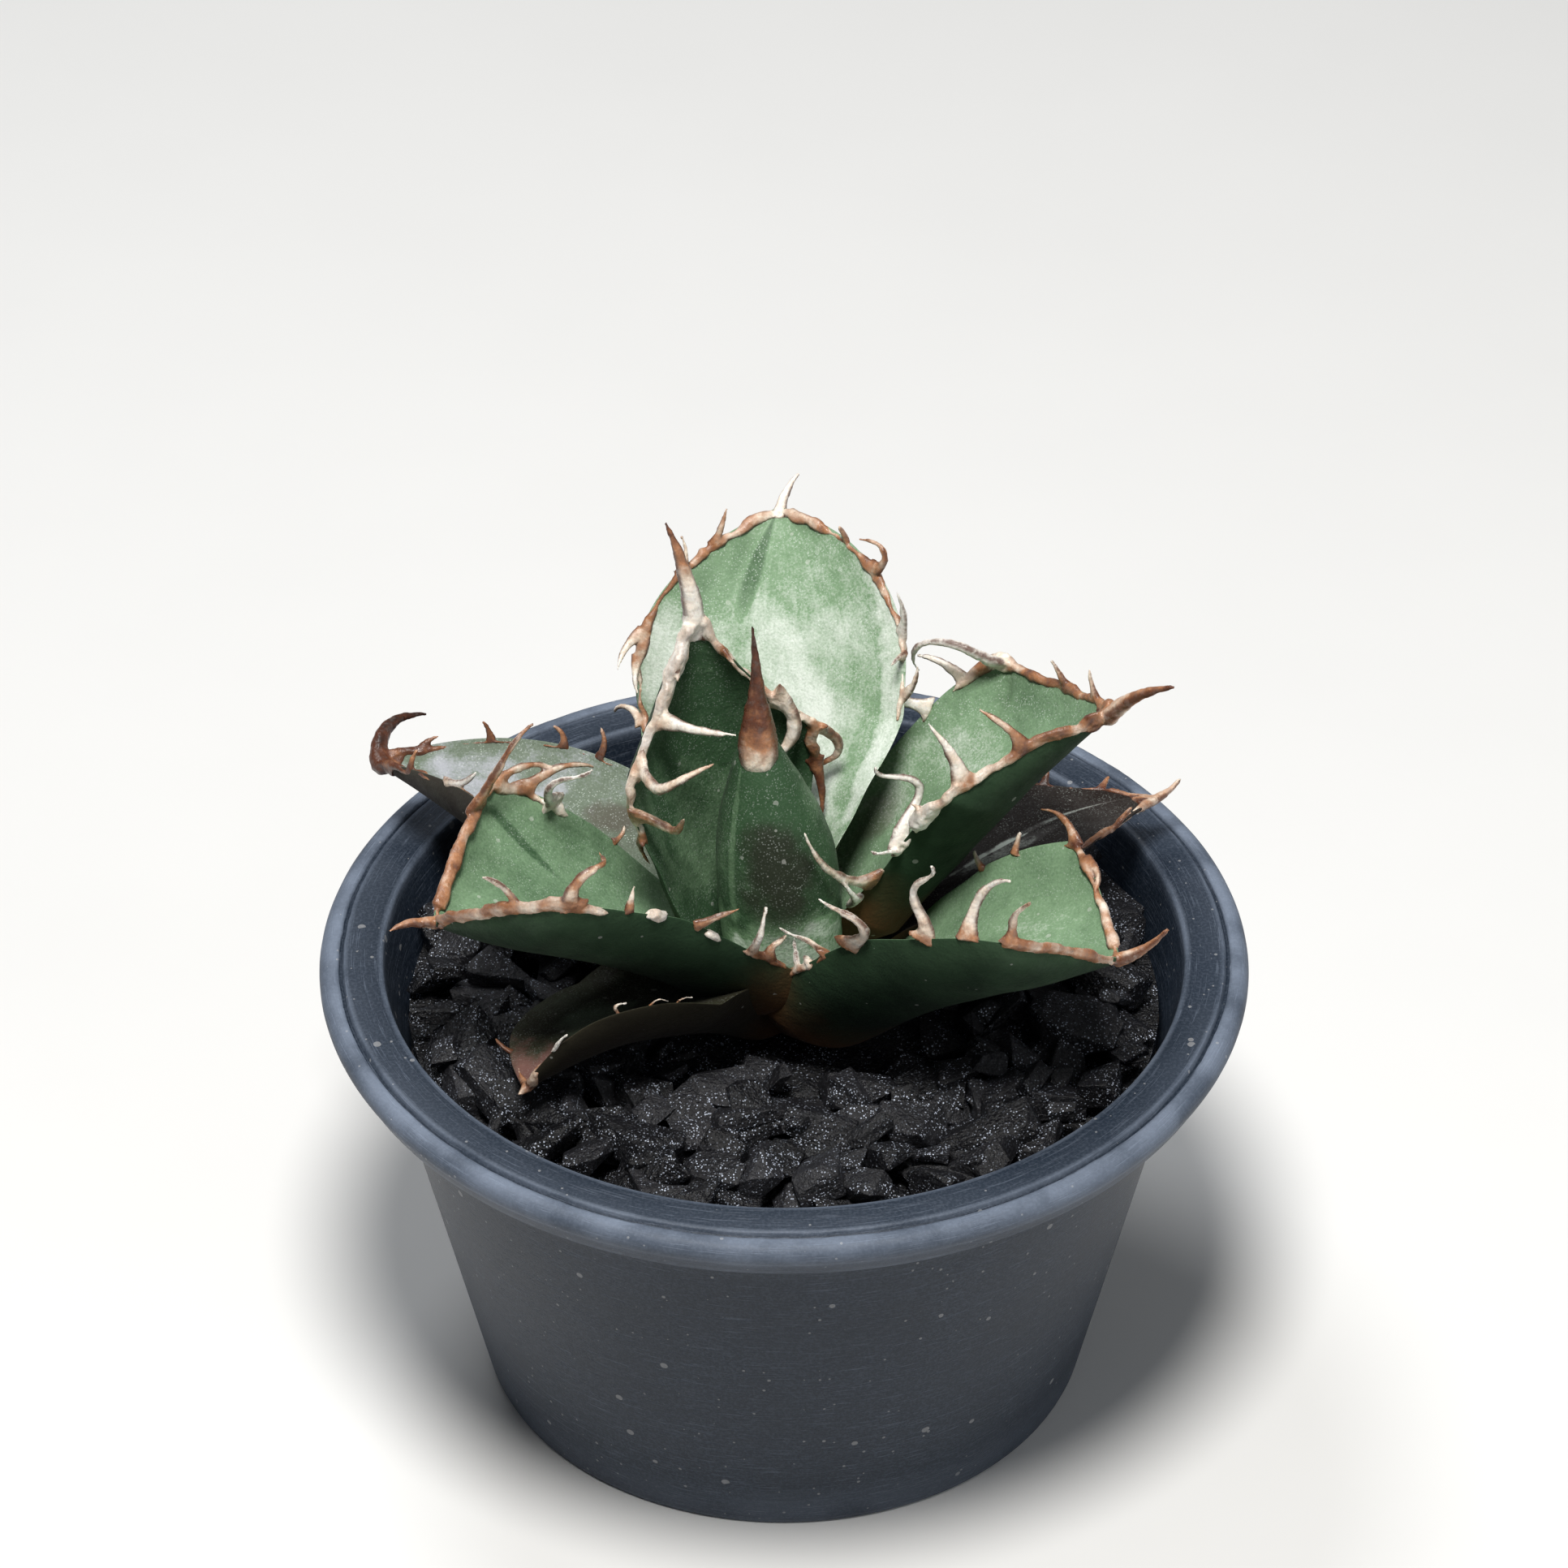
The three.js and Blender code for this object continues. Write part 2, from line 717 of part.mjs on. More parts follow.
/** One tooth of the margin. */
function toothSolid(leaf, tooth, grow) {
  const TOOTH_SIDES = 3;
  const SLENDERNESS = [0.55, 28, 0.6, 1.1];
  const TAPER_POWER = 0.85;
  const [side, place, length, sweepRoot, sweepTip, liftRoot, liftTip, wave] = tooth;
  const edge = marginAt(leaf, side, place);
  const steps = stepsFor(length, 2);
  const root = edge.centre.clone().addScaledVector(edge.outward, -MARGIN_INSET);
  const line = walk(root, length, steps, (share) => {
    const turn = lerp(sweepRoot, sweepTip, share) + wave * Math.sin(2 * Math.PI * share);
    const sweep = radians(turn);
    const lift = radians(lerp(liftRoot, liftTip, share));
    return new THREE.Vector3()
      .addScaledVector(edge.outward, Math.cos(lift) * Math.cos(sweep))
      .addScaledVector(edge.along, Math.cos(lift) * Math.sin(sweep))
      .addScaledVector(edge.up, Math.sin(lift));
  });
  const size = TOOTH_RADIUS * sizeFor(length, SLENDERNESS);
  const radii = line.map((point, k) => {
    return lerp(TOOTH_TIP_RADIUS, size, Math.pow(1 - k / steps, TAPER_POWER));
  });
  const up = line.map(() => edge.along);
  return taperedRod(line, radii, TOOTH_SIDES, up, grow);
}

/** Small teeth spaced along the stretches of margin that have no large tooth. */
function smallTeeth(leaf) {
  const SPACING = 8.5;
  const SPACING_SPREAD = [0.8, 1.2];
  const CLEARANCE = 5.5;
  const FROM_MARGIN = 0.06;
  const LAST_PLACE = 0.93;
  const LENGTHS = [3, 5.5];
  const SWEEPS = [-60, 40];
  const CURL = 70;
  const LIFTS = [5, 40];
  const random = seeded(leaf.seed);
  const teeth = [];
  for (const side of [LEFT, RIGHT]) {
    const start = leaf.margin[side] + FROM_MARGIN;
    const step = SPACING / leaf.length;
    for (let s = start; s < LAST_PLACE; s += step * lerp(...SPACING_SPREAD, random())) {
      const length = lerp(...LENGTHS, random());
      const sweep = lerp(...SWEEPS, random());
      const curl = lerp(-CURL, CURL, random());
      const lift = lerp(...LIFTS, random());
      const isFree = leaf.teeth.every(([otherSide, place]) => {
        return otherSide !== side || Math.abs(place - s) * leaf.length > CLEARANCE;
      });
      if (isFree) teeth.push([side, s, length, sweep, sweep + curl, lift, lift, 0]);
    }
  }
  return teeth;
}

/** The spine at the leaf's tip, with its root running back over the blade's end. */
function spineSolid(leaf, grow) {
  const SIDES = 5;
  const ROOT_BACK = 0.03;
  const ROOT_DROP = [0.6, 0.5];
  const ROOT_GIRTH = [0.8, 1.15];
  const GIRTH = [0.6, 30, 0.65, 1.05];
  const TAPER_POWER = 0.9;
  const [length, turnRoot, turnTip, liftRoot, liftTip] = leaf.spine;
  const steps = stepsFor(length, 3);
  const end = bladeEnd(leaf);
  const tip = midribAt(leaf, 1);
  const lowered = (s, drop) => {
    const { point, up } = midribAt(leaf, s);
    return point.clone().addScaledVector(up, -drop);
  };
  const spine = walk(lowered(1, ROOT_DROP[1]), length, steps, (share) => {
    const turn = radians(lerp(turnRoot, turnTip, share));
    const lift = radians(lerp(liftRoot, liftTip, share));
    return new THREE.Vector3()
      .addScaledVector(tip.along, Math.cos(lift) * Math.cos(turn))
      .addScaledVector(tip.left, Math.cos(lift) * Math.sin(turn))
      .addScaledVector(tip.up, Math.sin(lift));
  });
  const root = [lowered(end - ROOT_BACK, ROOT_DROP[0]), lowered((end + 1) / 2, ROOT_DROP[1])];
  const line = [...root, ...spine];
  const size = SPINE_RADIUS * sizeFor(length, GIRTH);
  const radii = line.map((point, k) => {
    if (k < root.length) return size * ROOT_GIRTH[k];
    return lerp(TOOTH_TIP_RADIUS, size, Math.pow(1 - (k - root.length) / steps, TAPER_POWER));
  });
  const up = line.map(() => tip.left);
  return taperedRod(line, radii, SIDES, up, grow);
}

/** A leaf's whole horny edge as one body: both margins, their teeth and the spine. */
function hornSolid(leaf, grow = 0) {
  leaf.allTeeth ??= [...leaf.teeth, ...smallTeeth(leaf)];
  let horn = spineSolid(leaf, grow);
  for (const side of [LEFT, RIGHT]) horn = horn.add(marginBand(leaf, side, grow));
  for (const tooth of leaf.allTeeth) horn = horn.add(toothSolid(leaf, tooth, grow));
  return horn;
}

// Bud

/** The rolled bud leaf, with a step along its back where one edge overlaps the other. */
function budSolid(grow = 0) {
  const seam = radians(BUD_SEAM_ANGLE);
  const rings = BUD_RINGS.map(([x, y, height, radius], k) => {
    const ring = [];
    let lift = 0;
    if (k === 0) lift = -grow;
    if (k === BUD_RINGS.length - 1) lift = grow;
    for (let i = 0; i < BUD_SIDES; i++) {
      const share = i / (BUD_SIDES - 1);
      const angle = seam + 2 * Math.PI * share * BUD_TURN;
      const spiral = 1 + BUD_OVERLAP * (share - 0.5);
      const reach = radius * spiral + grow / Math.cos(Math.PI / BUD_SIDES);
      ring.push(
        new THREE.Vector3(
          x + reach * Math.cos(angle),
          y + reach * Math.sin(angle),
          POT_HEIGHT + height + lift
        )
      );
    }
    return ring;
  });
  return solidThroughRings(rings);
}

/** The bud's spine, whose broad root lies on the front of the bud's top. */
function budSpineSolid(grow = 0) {
  const line = BUD_SPINE.map(([x, y, height]) => new THREE.Vector3(x, y, POT_HEIGHT + height));
  const radii = BUD_SPINE.map(([, , , radius]) => radius);
  const up = line.map(() => new THREE.Vector3(0, -1, 0));
  return taperedRod(line, radii, BUD_SPINE_SIDES, up, grow);
}

// Pot, soil, crown and gravel

/** A turned solid from a profile of [radius, height] points. */
function turned(profile, sides) {
  const outline = profile.map(([radius, height]) => new THREE.Vector2(radius, height));
  const geometry = new THREE.LatheGeometry(outline, sides);
  geometry.rotateX(Math.PI / 2);
  const solid = solidFromGeometry(geometry);
  if (solid.volume() > 0) return solid;
  geometry.setIndex(Array.from(geometry.index.array).reverse());
  return solidFromGeometry(geometry);
}

/** The radius of the pot's inner wall at a height. */
function innerRadius(height) {
  const share = (height - FLOOR_THICKNESS) / (POT_HEIGHT - FLOOR_THICKNESS);
  return lerp(FOOT_RADIUS - WALL, MOUTH_RADIUS - MOUTH_LIP, share);
}

/** The pot: a tapered shell with a flat rim, a groove and a rounded bead, and drain holes. */
function potSolid() {
  const top = POT_HEIGHT;
  const bandBottom = top - RIM_BAND_DEPTH;
  const beadInner = POT_RADIUS - BEAD_WIDTH;
  const grooveInner = beadInner - GROOVE_WIDTH;
  const wallTop = MOUTH_RADIUS - MOUTH_LIP + WALL;
  let pot = turned(
    [
      [0, 0],
      [FOOT_RADIUS - FOOT_CHAMFER, 0],
      [FOOT_RADIUS, FOOT_CHAMFER],
      [wallTop, bandBottom],
      [POT_RADIUS - BEAD_UNDERCUT[0], bandBottom],
      [POT_RADIUS, bandBottom + BEAD_UNDERCUT[1]],
      [POT_RADIUS, top - BEAD_SHOULDER[1]],
      [POT_RADIUS - BEAD_SHOULDER[0], top - BEAD_DROP],
      [beadInner, top - BEAD_DROP],
      [beadInner, top - GROOVE_DEPTH],
      [grooveInner, top - GROOVE_DEPTH],
      [grooveInner, top],
      [MOUTH_RADIUS, top],
      [FOOT_RADIUS - WALL, FLOOR_THICKNESS],
      [0, FLOOR_THICKNESS],
    ],
    POT_SIDES
  );
  for (let k = 0; k < DRAIN_HOLES; k++) {
    const angle = (2 * Math.PI * k) / DRAIN_HOLES;
    const depth = FLOOR_THICKNESS * 4;
    const drill = new THREE.CylinderGeometry(DRAIN_RADIUS, DRAIN_RADIUS, depth, DRAIN_SIDES);
    drill.rotateX(Math.PI / 2);
    drill.translate(
      DRAIN_RING_RADIUS * Math.cos(angle),
      DRAIN_RING_RADIUS * Math.sin(angle),
      0
    );
    pot = pot.subtract(solidFromGeometry(drill));
  }
  return pot;
}

/** The soil that fills the pot, with a plain hole for the stem. */
function soilSolid() {
  const bottom = FLOOR_THICKNESS + GAP;
  const holeBottom = STEM_BOTTOM - GAP;
  return turned(
    [
      [0, bottom],
      [innerRadius(bottom) - GAP, bottom],
      [innerRadius(SOIL_TOP) - GAP, SOIL_TOP],
      [STEM_RADIUS + 2 * GAP, SOIL_TOP],
      [STEM_RADIUS + 2 * GAP, holeBottom],
      [0, holeBottom],
    ],
    FILL_SIDES
  );
}

/** The short stem and the crown that the leaves grow from. */
function crownSolid(grow = 0) {
  const CHAMFER = 1;
  const STEM_CHAMFER_HEIGHT = 3;
  const SWELL_HEIGHT = 5;
  const DOME_RADIUS = CROWN_RADIUS - 5;
  const DOME_DROP = 1.5;
  const extra = grow / Math.cos(Math.PI / CROWN_SIDES);
  return turned(
    [
      [0, STEM_BOTTOM - grow],
      [STEM_RADIUS - CHAMFER + extra, STEM_BOTTOM - grow],
      [STEM_RADIUS + extra, STEM_BOTTOM + STEM_CHAMFER_HEIGHT],
      [STEM_RADIUS + extra, SOIL_TOP],
      [CROWN_RADIUS - CHAMFER + extra, SOIL_TOP + SWELL_HEIGHT],
      [CROWN_RADIUS + extra, POT_HEIGHT - SWELL_HEIGHT],
      [CROWN_RADIUS - CHAMFER + extra, POT_HEIGHT - CHAMFER],
      [DOME_RADIUS + extra, CROWN_TOP - DOME_DROP],
      [0, CROWN_TOP + grow],
    ],
    CROWN_SIDES
  );
}

/** One angular stone, with its flatter face more or less up. */
function stoneSolid(random, centre, length) {
  const LONG = [0.75, 1.1];
  const WIDE = [0.68, 0.9];
  const TALL = [0.42, 0.6];
  const STAGGER = 0.7;
  const BELT = [-0.4, 0.6];
  const TOP_REACH = [0.55, 0.9];
  const SIDE_REACH = [0.85, 1];
  const DEPTH = [0.8, 1];
  const long = length * lerp(...LONG, random());
  const wide = long * lerp(...WIDE, random());
  const tall = long * lerp(...TALL, random());
  const corners = [];
  for (let k = 0; k < STONE_CORNERS; k++) {
    const angle = (2 * Math.PI * (k + STAGGER * random())) / STONE_CORNERS;
    const level = [-1, 1, lerp(...BELT, random())][k % 3];
    const reach = level === 1 ? lerp(...TOP_REACH, random()) : lerp(...SIDE_REACH, random());
    corners.push(
      new THREE.Vector3(
        (long / 2) * reach * Math.cos(angle),
        (wide / 2) * reach * Math.sin(angle),
        (tall / 2) * level * lerp(...DEPTH, random())
      )
    );
  }
  const geometry = new ConvexGeometry(corners);
  geometry.rotateX(lerp(-STONE_TILT, STONE_TILT, random()));
  geometry.rotateY(lerp(-STONE_TILT, STONE_TILT, random()));
  geometry.rotateZ(2 * Math.PI * random());
  geometry.translate(centre.x, centre.y, centre.z - tall / 2);
  return solidFromGeometry(geometry);
}

/** A ring-shaped fill between two radii and two heights. */
function fillRing(inner, outer, bottom, top) {
  const outline = [
    [inner, bottom],
    [outer, bottom],
    [outer, top],
    [inner, top],
  ];
  if (inner > 0) outline.push([inner, bottom]);
  return turned(outline, FILL_SIDES);
}

/** The gravel: a bed with stones set on a spiral, fused, and hollowed round the plant. */
function gravelSolid(plantRooms) {
  const SIZES = [0.72, 1];
  const KEPT_INSIDE = 0.26;
  const WANDER = 1;
  const TURN_WANDER = 0.03;
  const HEIGHT_WANDER = 1.4;
  const random = seeded(STONE_SEED);
  const bottom = SOIL_TOP + GAP;
  const wall = innerRadius(bottom) - 2 * GAP;
  const hole = STEM_RADIUS + 2 * GAP;
  const pieces = [fillRing(hole, wall, bottom, GRAVEL_BED_TOP)];
  for (let k = 0; k < STONE_COUNT; k++) {
    const spread = (k + 0.5) / STONE_COUNT;
    const length = STONE_LENGTH * lerp(...SIZES, random());
    const farthest = wall - length * KEPT_INSIDE;
    const reach = farthest * Math.sqrt(spread) + lerp(-WANDER, WANDER, random());
    const angle = k * GOLDEN_ANGLE + lerp(-TURN_WANDER, TURN_WANDER, random());
    const centre = new THREE.Vector3(
      reach * Math.cos(angle),
      reach * Math.sin(angle),
      GRAVEL_TOP + lerp(-HEIGHT_WANDER, HEIGHT_WANDER, random())
    );
    pieces.push(stoneSolid(random, centre, length));
  }
  const heap = pieces.reduce((whole, piece) => whole.add(piece));
  let gravel = heap.intersect(fillRing(0, wall, bottom, POT_HEIGHT));
  for (const room of plantRooms) gravel = gravel.subtract(room);
  return gravel;
}

// Assembly

/** Whether each edge of a solid still joins exactly two faces once near points are merged. */
function isClosedSkin(solid) {
  const MERGE = 1e-4;
  const { vertProperties, triVerts } = solid.getMesh();
  const key = (v) => {
    return [0, 1, 2].map((axis) => Math.round(vertProperties[3 * v + axis] / MERGE)).join();
  };
  const uses = new Map();
  for (let f = 0; f < triVerts.length; f += 3) {
    const corners = [0, 1, 2].map((k) => key(triVerts[f + k]));
    if (new Set(corners).size < 3) continue;
    corners.forEach((corner, k) => {
      const edge = [corner, corners[(k + 1) % 3]].sort().join("/");
      uses.set(edge, (uses.get(edge) ?? 0) + 1);
    });
  }
  return [...uses.values()].every((count) => count === 2);
}

/** A solid's largest body, with its smallest steps smoothed as far as its skin stays closed. */
function smoothed(solid) {
  for (const size of SMOOTHING) {
    const body = largestBody(solid.simplify(size));
    if (isClosedSkin(body)) return body;
  }
  return largestBody(solid);
}

/** Cuts a solid clear of every other solid in a list, and keeps its largest body. */
function clearOf(solid, rooms) {
  return smoothed(rooms.reduce((cut, room) => cut.subtract(room), solid));
}

const group = new THREE.Group();

/** Adds a named mesh to the part. */
function addMesh(name, solid, material) {
  const mesh = new THREE.Mesh(geometryFromSolid(solid), material);
  mesh.name = name;
  group.add(mesh);
}

const crownRoom = crownSolid(GAP);
const budRoom = budSolid(GAP);
const budSpineRoom = budSpineSolid(GAP);
const plantRooms = [crownRoom];
const youngerRooms = [budRoom, budSpineRoom];

addMesh("pot", potSolid(), FINISH.pot());
addMesh("soil", soilSolid(), FINISH.soil());
addMesh("crown", clearOf(crownSolid(), [budRoom]), FINISH.crown());
addMesh("bud_leaf", clearOf(budSolid(), [budSpineRoom]), FINISH.blade());
addMesh("bud_spine", budSpineSolid(), FINISH.horn());

for (const leaf of LEAVES) {
  const ownRooms = [LEFT, RIGHT].map((side) => marginBand(leaf, side, TIP_CLEARANCE));
  const bladeRooms = [crownRoom, ...youngerRooms, spineSolid(leaf, GAP), ...ownRooms];
  const blade = clearOf(bladeSolid(leaf), bladeRooms);
  const horn = clearOf(hornSolid(leaf), youngerRooms);
  addMesh(`${leaf.name}_leaf`, blade, FINISH.blade());
  addMesh(`${leaf.name}_leaf_horn`, horn, FINISH.horn());
  const bladeRoom = bladeSolid(leaf, GAP);
  const hornRoom = hornSolid(leaf, GAP);
  youngerRooms.push(bladeRoom, hornRoom);
  plantRooms.push(bladeRoom, hornRoom);
}

addMesh("gravel", smoothed(gravelSolid(plantRooms)), FINISH.gravel());

export default group;
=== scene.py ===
"""A potted agave titanota with horny, toothed leaf edges, in a shallow plastic pot with gravel.

Lengths are in millimetres until a mesh is made. The frame is the part's own: +Z up, origin at
the middle of the pot's foot, +Y to the back of the plant. Points of the plant are measured from
the height of the pot's rim.
"""

import logging
import math
from dataclasses import dataclass, field
from enum import Enum

import bmesh
import bpy
import numpy as np
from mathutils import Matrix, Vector


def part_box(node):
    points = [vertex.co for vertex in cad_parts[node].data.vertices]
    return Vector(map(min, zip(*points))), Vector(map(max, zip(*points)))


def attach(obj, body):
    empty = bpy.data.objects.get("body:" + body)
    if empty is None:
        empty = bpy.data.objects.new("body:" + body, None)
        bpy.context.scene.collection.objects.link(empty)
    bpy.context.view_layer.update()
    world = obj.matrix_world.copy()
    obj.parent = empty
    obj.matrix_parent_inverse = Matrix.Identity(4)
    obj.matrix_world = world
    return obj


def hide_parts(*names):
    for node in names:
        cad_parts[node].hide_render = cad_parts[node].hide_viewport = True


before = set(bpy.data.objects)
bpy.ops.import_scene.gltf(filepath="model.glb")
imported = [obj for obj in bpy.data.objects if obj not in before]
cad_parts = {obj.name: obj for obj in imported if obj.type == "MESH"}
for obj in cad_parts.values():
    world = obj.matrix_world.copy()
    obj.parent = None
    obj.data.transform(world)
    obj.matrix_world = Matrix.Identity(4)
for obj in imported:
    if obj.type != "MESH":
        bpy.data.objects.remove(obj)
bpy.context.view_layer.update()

BODY = "root"
MM = 0.001
RIM_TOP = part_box("pot")[1][2] / MM
IMAGE_WIDTH = 1932
SENSOR_WIDTH = 36.0
GOLDEN_ANGLE = math.pi * (3 - math.sqrt(5))
POINTS_AT_ONCE = 3000
TONE_BLEND = 0.3
LUMP_WIDTH = 1.5
LUMP_HEIGHT = 0.14
LEAST_SHELL = 60

Array = np.ndarray
Pair = tuple[float, float]
Triple = tuple[float, float, float]
Rows = tuple[Triple, ...]
Faces = list[tuple[int, ...]]
Material = bpy.types.Material
Tree = bpy.types.NodeTree
Node = bpy.types.Node
Socket = bpy.types.NodeSocket
Input = Socket | float | Triple

log = logging.getLogger("agave")


# Arithmetic


def lerp(low: float, high: float, share: float) -> float:
    """A value between two others, at a share of the way."""
    return low + (high - low) * share


def smoothstep(low: float, high: float, value: Array) -> Array:
    """A smooth rise from 0 at low to 1 at high."""
    share = np.clip((np.asarray(value, float) - low) / (high - low), 0, 1)
    return share * share * (3 - 2 * share)


def unit(vectors: Array) -> Array:
    """The same vectors at length one."""
    return vectors / np.maximum(np.linalg.norm(vectors, axis=-1, keepdims=True), 1e-9)


def soft_noise(points: Array, size: float, seed: int = 0) -> Array:
    """Smooth noise from -1 to 1.

    Args:
        points: places, one a row.
        size: width of one lump, in the places' own units.
        seed: chooses another pattern.

    Returns:
        One value for each place.
    """
    scaled = points / size
    cell = np.floor(scaled).astype(np.int64)
    part = scaled - cell
    part = part * part * (3 - 2 * part)
    total = np.zeros(len(points))
    for corner in np.ndindex(2, 2, 2):
        place = (cell + np.array(corner)).astype(np.uint64)
        mixed = place[:, 0] * np.uint64(73856093) ^ place[:, 1] * np.uint64(19349663)
        mixed = mixed ^ place[:, 2] * np.uint64(83492791) ^ np.uint64(seed * 2654435761 % 2**32)
        mixed = (mixed ^ (mixed >> np.uint64(13))) * np.uint64(1274126177)
        mixed = mixed ^ (mixed >> np.uint64(16))
        value = (mixed & np.uint64(0xFFFF)).astype(float) / 32767.5 - 1
        share = np.prod(np.where(np.array(corner) == 1, part, 1 - part), axis=1)
        total += value * share
    return total


def layered_noise(points: Array, size: float, layers: int, seed: int = 0) -> Array:
    """Smooth noise with finer and weaker layers added to it.

    Args:
        points: places, one a row.
        size: width of the largest lumps.
        layers: how many layers, each half as wide and as strong as the one before.
        seed: chooses another pattern.

    Returns:
        One value for each place.
    """
    total = np.zeros(len(points))
    for k in range(layers):
        total += soft_noise(points, size / 2**k, seed + k) / 2**k
    return total


class Draws:
    """A seeded generator of numbers."""

    def __init__(self, seed: int) -> None:
        """Starts the generator from a seed."""
        self.state = seed % 2**32

    def __call__(self) -> float:
        """The next number from 0 to 1."""
        self.state = (1664525 * self.state + 1013904223) % 2**32
        return self.state / 2**32

    def between(self, low: float, high: float) -> float:
        """The next number between two limits."""
        return lerp(low, high, self())


# Meshes


@dataclass
class Skin:
    """Points and faces of closed shells, with the values that a material reads at each point."""

    points: Array
    faces: Faces
    values: dict[str, Array] = field(default_factory=dict)


def skin_of_rings(rings: Array, values: dict[str, Array] | None = None, loop: bool = False) -> Skin:
    """A closed skin through rings of points.

    Args:
        rings: places by ring and by an even count of points round it.
        values: material values by the same ring and point.
        loop: whether the last ring joins the first. Otherwise both are zipped shut.

    Returns:
        The skin.
    """
    count, around = rings.shape[:2]
    index = np.arange(count * around).reshape(count, around)
    near = index if loop else index[:-1]
    far = np.roll(index, -1, 0) if loop else index[1:]
    walls = [near, np.roll(near, -1, 1), np.roll(far, -1, 1), far]
    faces = [tuple(face) for face in np.stack(walls, axis=-1).reshape(-1, 4).tolist()]
    for ring in () if loop else (index[0], index[-1]):
        for k in range(around // 2):
            corners = (ring[k], ring[k + 1], ring[around - k - 2], ring[around - k - 1])
            face = tuple(dict.fromkeys(int(corner) for corner in corners))
            if len(face) > 2:
                faces.append(face)
    flat = {key: value.reshape(-1) for key, value in (values or {}).items()}
    return Skin(rings.reshape(-1, 3), faces, flat)


def joined(skins: list[Skin]) -> Skin:
    """Several skins as one.

    Args:
        skins: skins that all have the same values.

    Returns:
        The joined skin.
    """
    faces = []
    offset = 0
    for skin in skins:
        faces.extend(tuple(corner + offset for corner in face) for face in skin.faces)
        offset += len(skin.points)
    keys = skins[0].values
    values = {key: np.concatenate([skin.values[key] for skin in skins]) for key in keys}
    return Skin(np.concatenate([skin.points for skin in skins]), faces, values)


def turned_rings(profile: Array, around: int) -> Array:
    """The rings that a profile of radius and height sweeps round the upright axis.

    Args:
        profile: radius and height, one pair a row.
        around: how many points each ring has.

    Returns:
        Places by profile point and by angle.
    """
    angle = 2 * math.pi * np.arange(around) / around
    radius = profile[:, :1]
    height = np.repeat(profile[:, 1:], around, axis=1)
    return np.stack([radius * np.cos(angle), radius * np.sin(angle), height], axis=-1)


def mesh_from(name: str, skin: Skin, scale: float = MM) -> bpy.types.Mesh:
    """A mesh with outward faces from a skin.

    Args:
        name: the mesh's name.
        skin: points, faces and values.
        scale: one unit of the skin in the mesh's.

    Returns:
        The mesh.
    """
    mesh = bpy.data.meshes.new(name)
    mesh.from_pydata((skin.points * scale).tolist(), [], skin.faces)
    for key, value in skin.values.items():
        layer = mesh.attributes.new(key, "FLOAT", "POINT")
        layer.data.foreach_set("value", np.asarray(value, np.float32))
    work = bmesh.new()
    work.from_mesh(mesh)
    bmesh.ops.recalc_face_normals(work, faces=work.faces)
    work.to_mesh(mesh)
    work.free()
    return mesh


def add_piece(
    mesh: bpy.types.Mesh, material: Material, node: str, smooth: bool = True
) -> bpy.types.Object:
    """Puts a mesh in the scene as the piece that stands for a solid.

    Args:
        mesh: its mesh, in metres, whose name the piece takes.
        material: its finish.
        node: the solid that it stands for.
        smooth: whether its faces blend into each other.

    Returns:
        The piece.
    """
    mesh.materials.append(material)
    mesh.polygons.foreach_set("use_smooth", [smooth] * len(mesh.polygons))
    piece = bpy.data.objects.new(mesh.name, mesh)
    bpy.context.scene.collection.objects.link(piece)
    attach(piece, BODY)
    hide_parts(node)
    log.info("%s: %d points, %d faces", piece.name, len(mesh.vertices), len(mesh.polygons))
    return piece


def fused(skin: Skin, voxel: float, smoothing: int) -> Skin:
    """One smooth skin round overlapping closed shells.

    Args:
        skin: the shells.
        voxel: the size of the new faces.
        smoothing: how often the new skin is relaxed.

    Returns:
        The new skin, without values.
    """
    mesh = mesh_from("shells", Skin(skin.points, skin.faces), 1.0)
    shells = bpy.data.objects.new("shells", mesh)
    bpy.context.scene.collection.objects.link(shells)
    remesh = shells.modifiers.new("fuse", "REMESH")
    remesh.mode = "VOXEL"
    remesh.voxel_size = voxel
    relax = shells.modifiers.new("relax", "SMOOTH")
    relax.factor = 0.5
    relax.iterations = smoothing
    depsgraph = bpy.context.evaluated_depsgraph_get()
    made = bpy.data.meshes.new_from_object(shells.evaluated_get(depsgraph))
    points = np.empty(len(made.vertices) * 3)
    made.vertices.foreach_get("co", points)
    faces = [tuple(polygon.vertices) for polygon in made.polygons]
    bpy.data.objects.remove(shells)
    bpy.data.meshes.remove(mesh)
    bpy.data.meshes.remove(made)
    return Skin(points.reshape(-1, 3), faces)


def without_crumbs(skin: Skin, least: int) -> Skin:
    """A skin without its smallest loose shells.

    Args:
        skin: one or more closed shells, without values.
        least: how many points a shell needs to stay.

    Returns:
        The larger shells.
    """
    edges = np.array([(a, b) for face in skin.faces for a, b in zip(face, face[1:])])
    label = np.arange(len(skin.points))
    while True:
        low = np.minimum(label[edges[:, 0]], label[edges[:, 1]])
        newer = label.copy()
        np.minimum.at(newer, edges[:, 0], low)
        np.minimum.at(newer, edges[:, 1], low)
        newer = newer[newer]
        if np.array_equal(newer, label):
            break
        label = newer
    kept = np.bincount(label, minlength=len(label))[label] >= least
    index = np.cumsum(kept) - 1
    faces = [tuple(int(index[c]) for c in face) for face in skin.faces if kept[face[0]]]
    return Skin(skin.points[kept], faces)


def point_normals(skin: Skin) -> Array:
    """The direction out of a skin of quads at each of its points.

    Args:
        skin: the skin.

    Returns:
        One direction for each point.
    """
    corners = np.array([face if len(face) == 4 else (*face, face[-1]) for face in skin.faces])
    points = skin.points[corners]
    out = np.cross(points[:, 2] - points[:, 0], points[:, 3] - points[:, 1])
    total = np.zeros_like(skin.points)
    for k in range(4):
        np.add.at(total, corners[:, k], out)
    return unit(total)


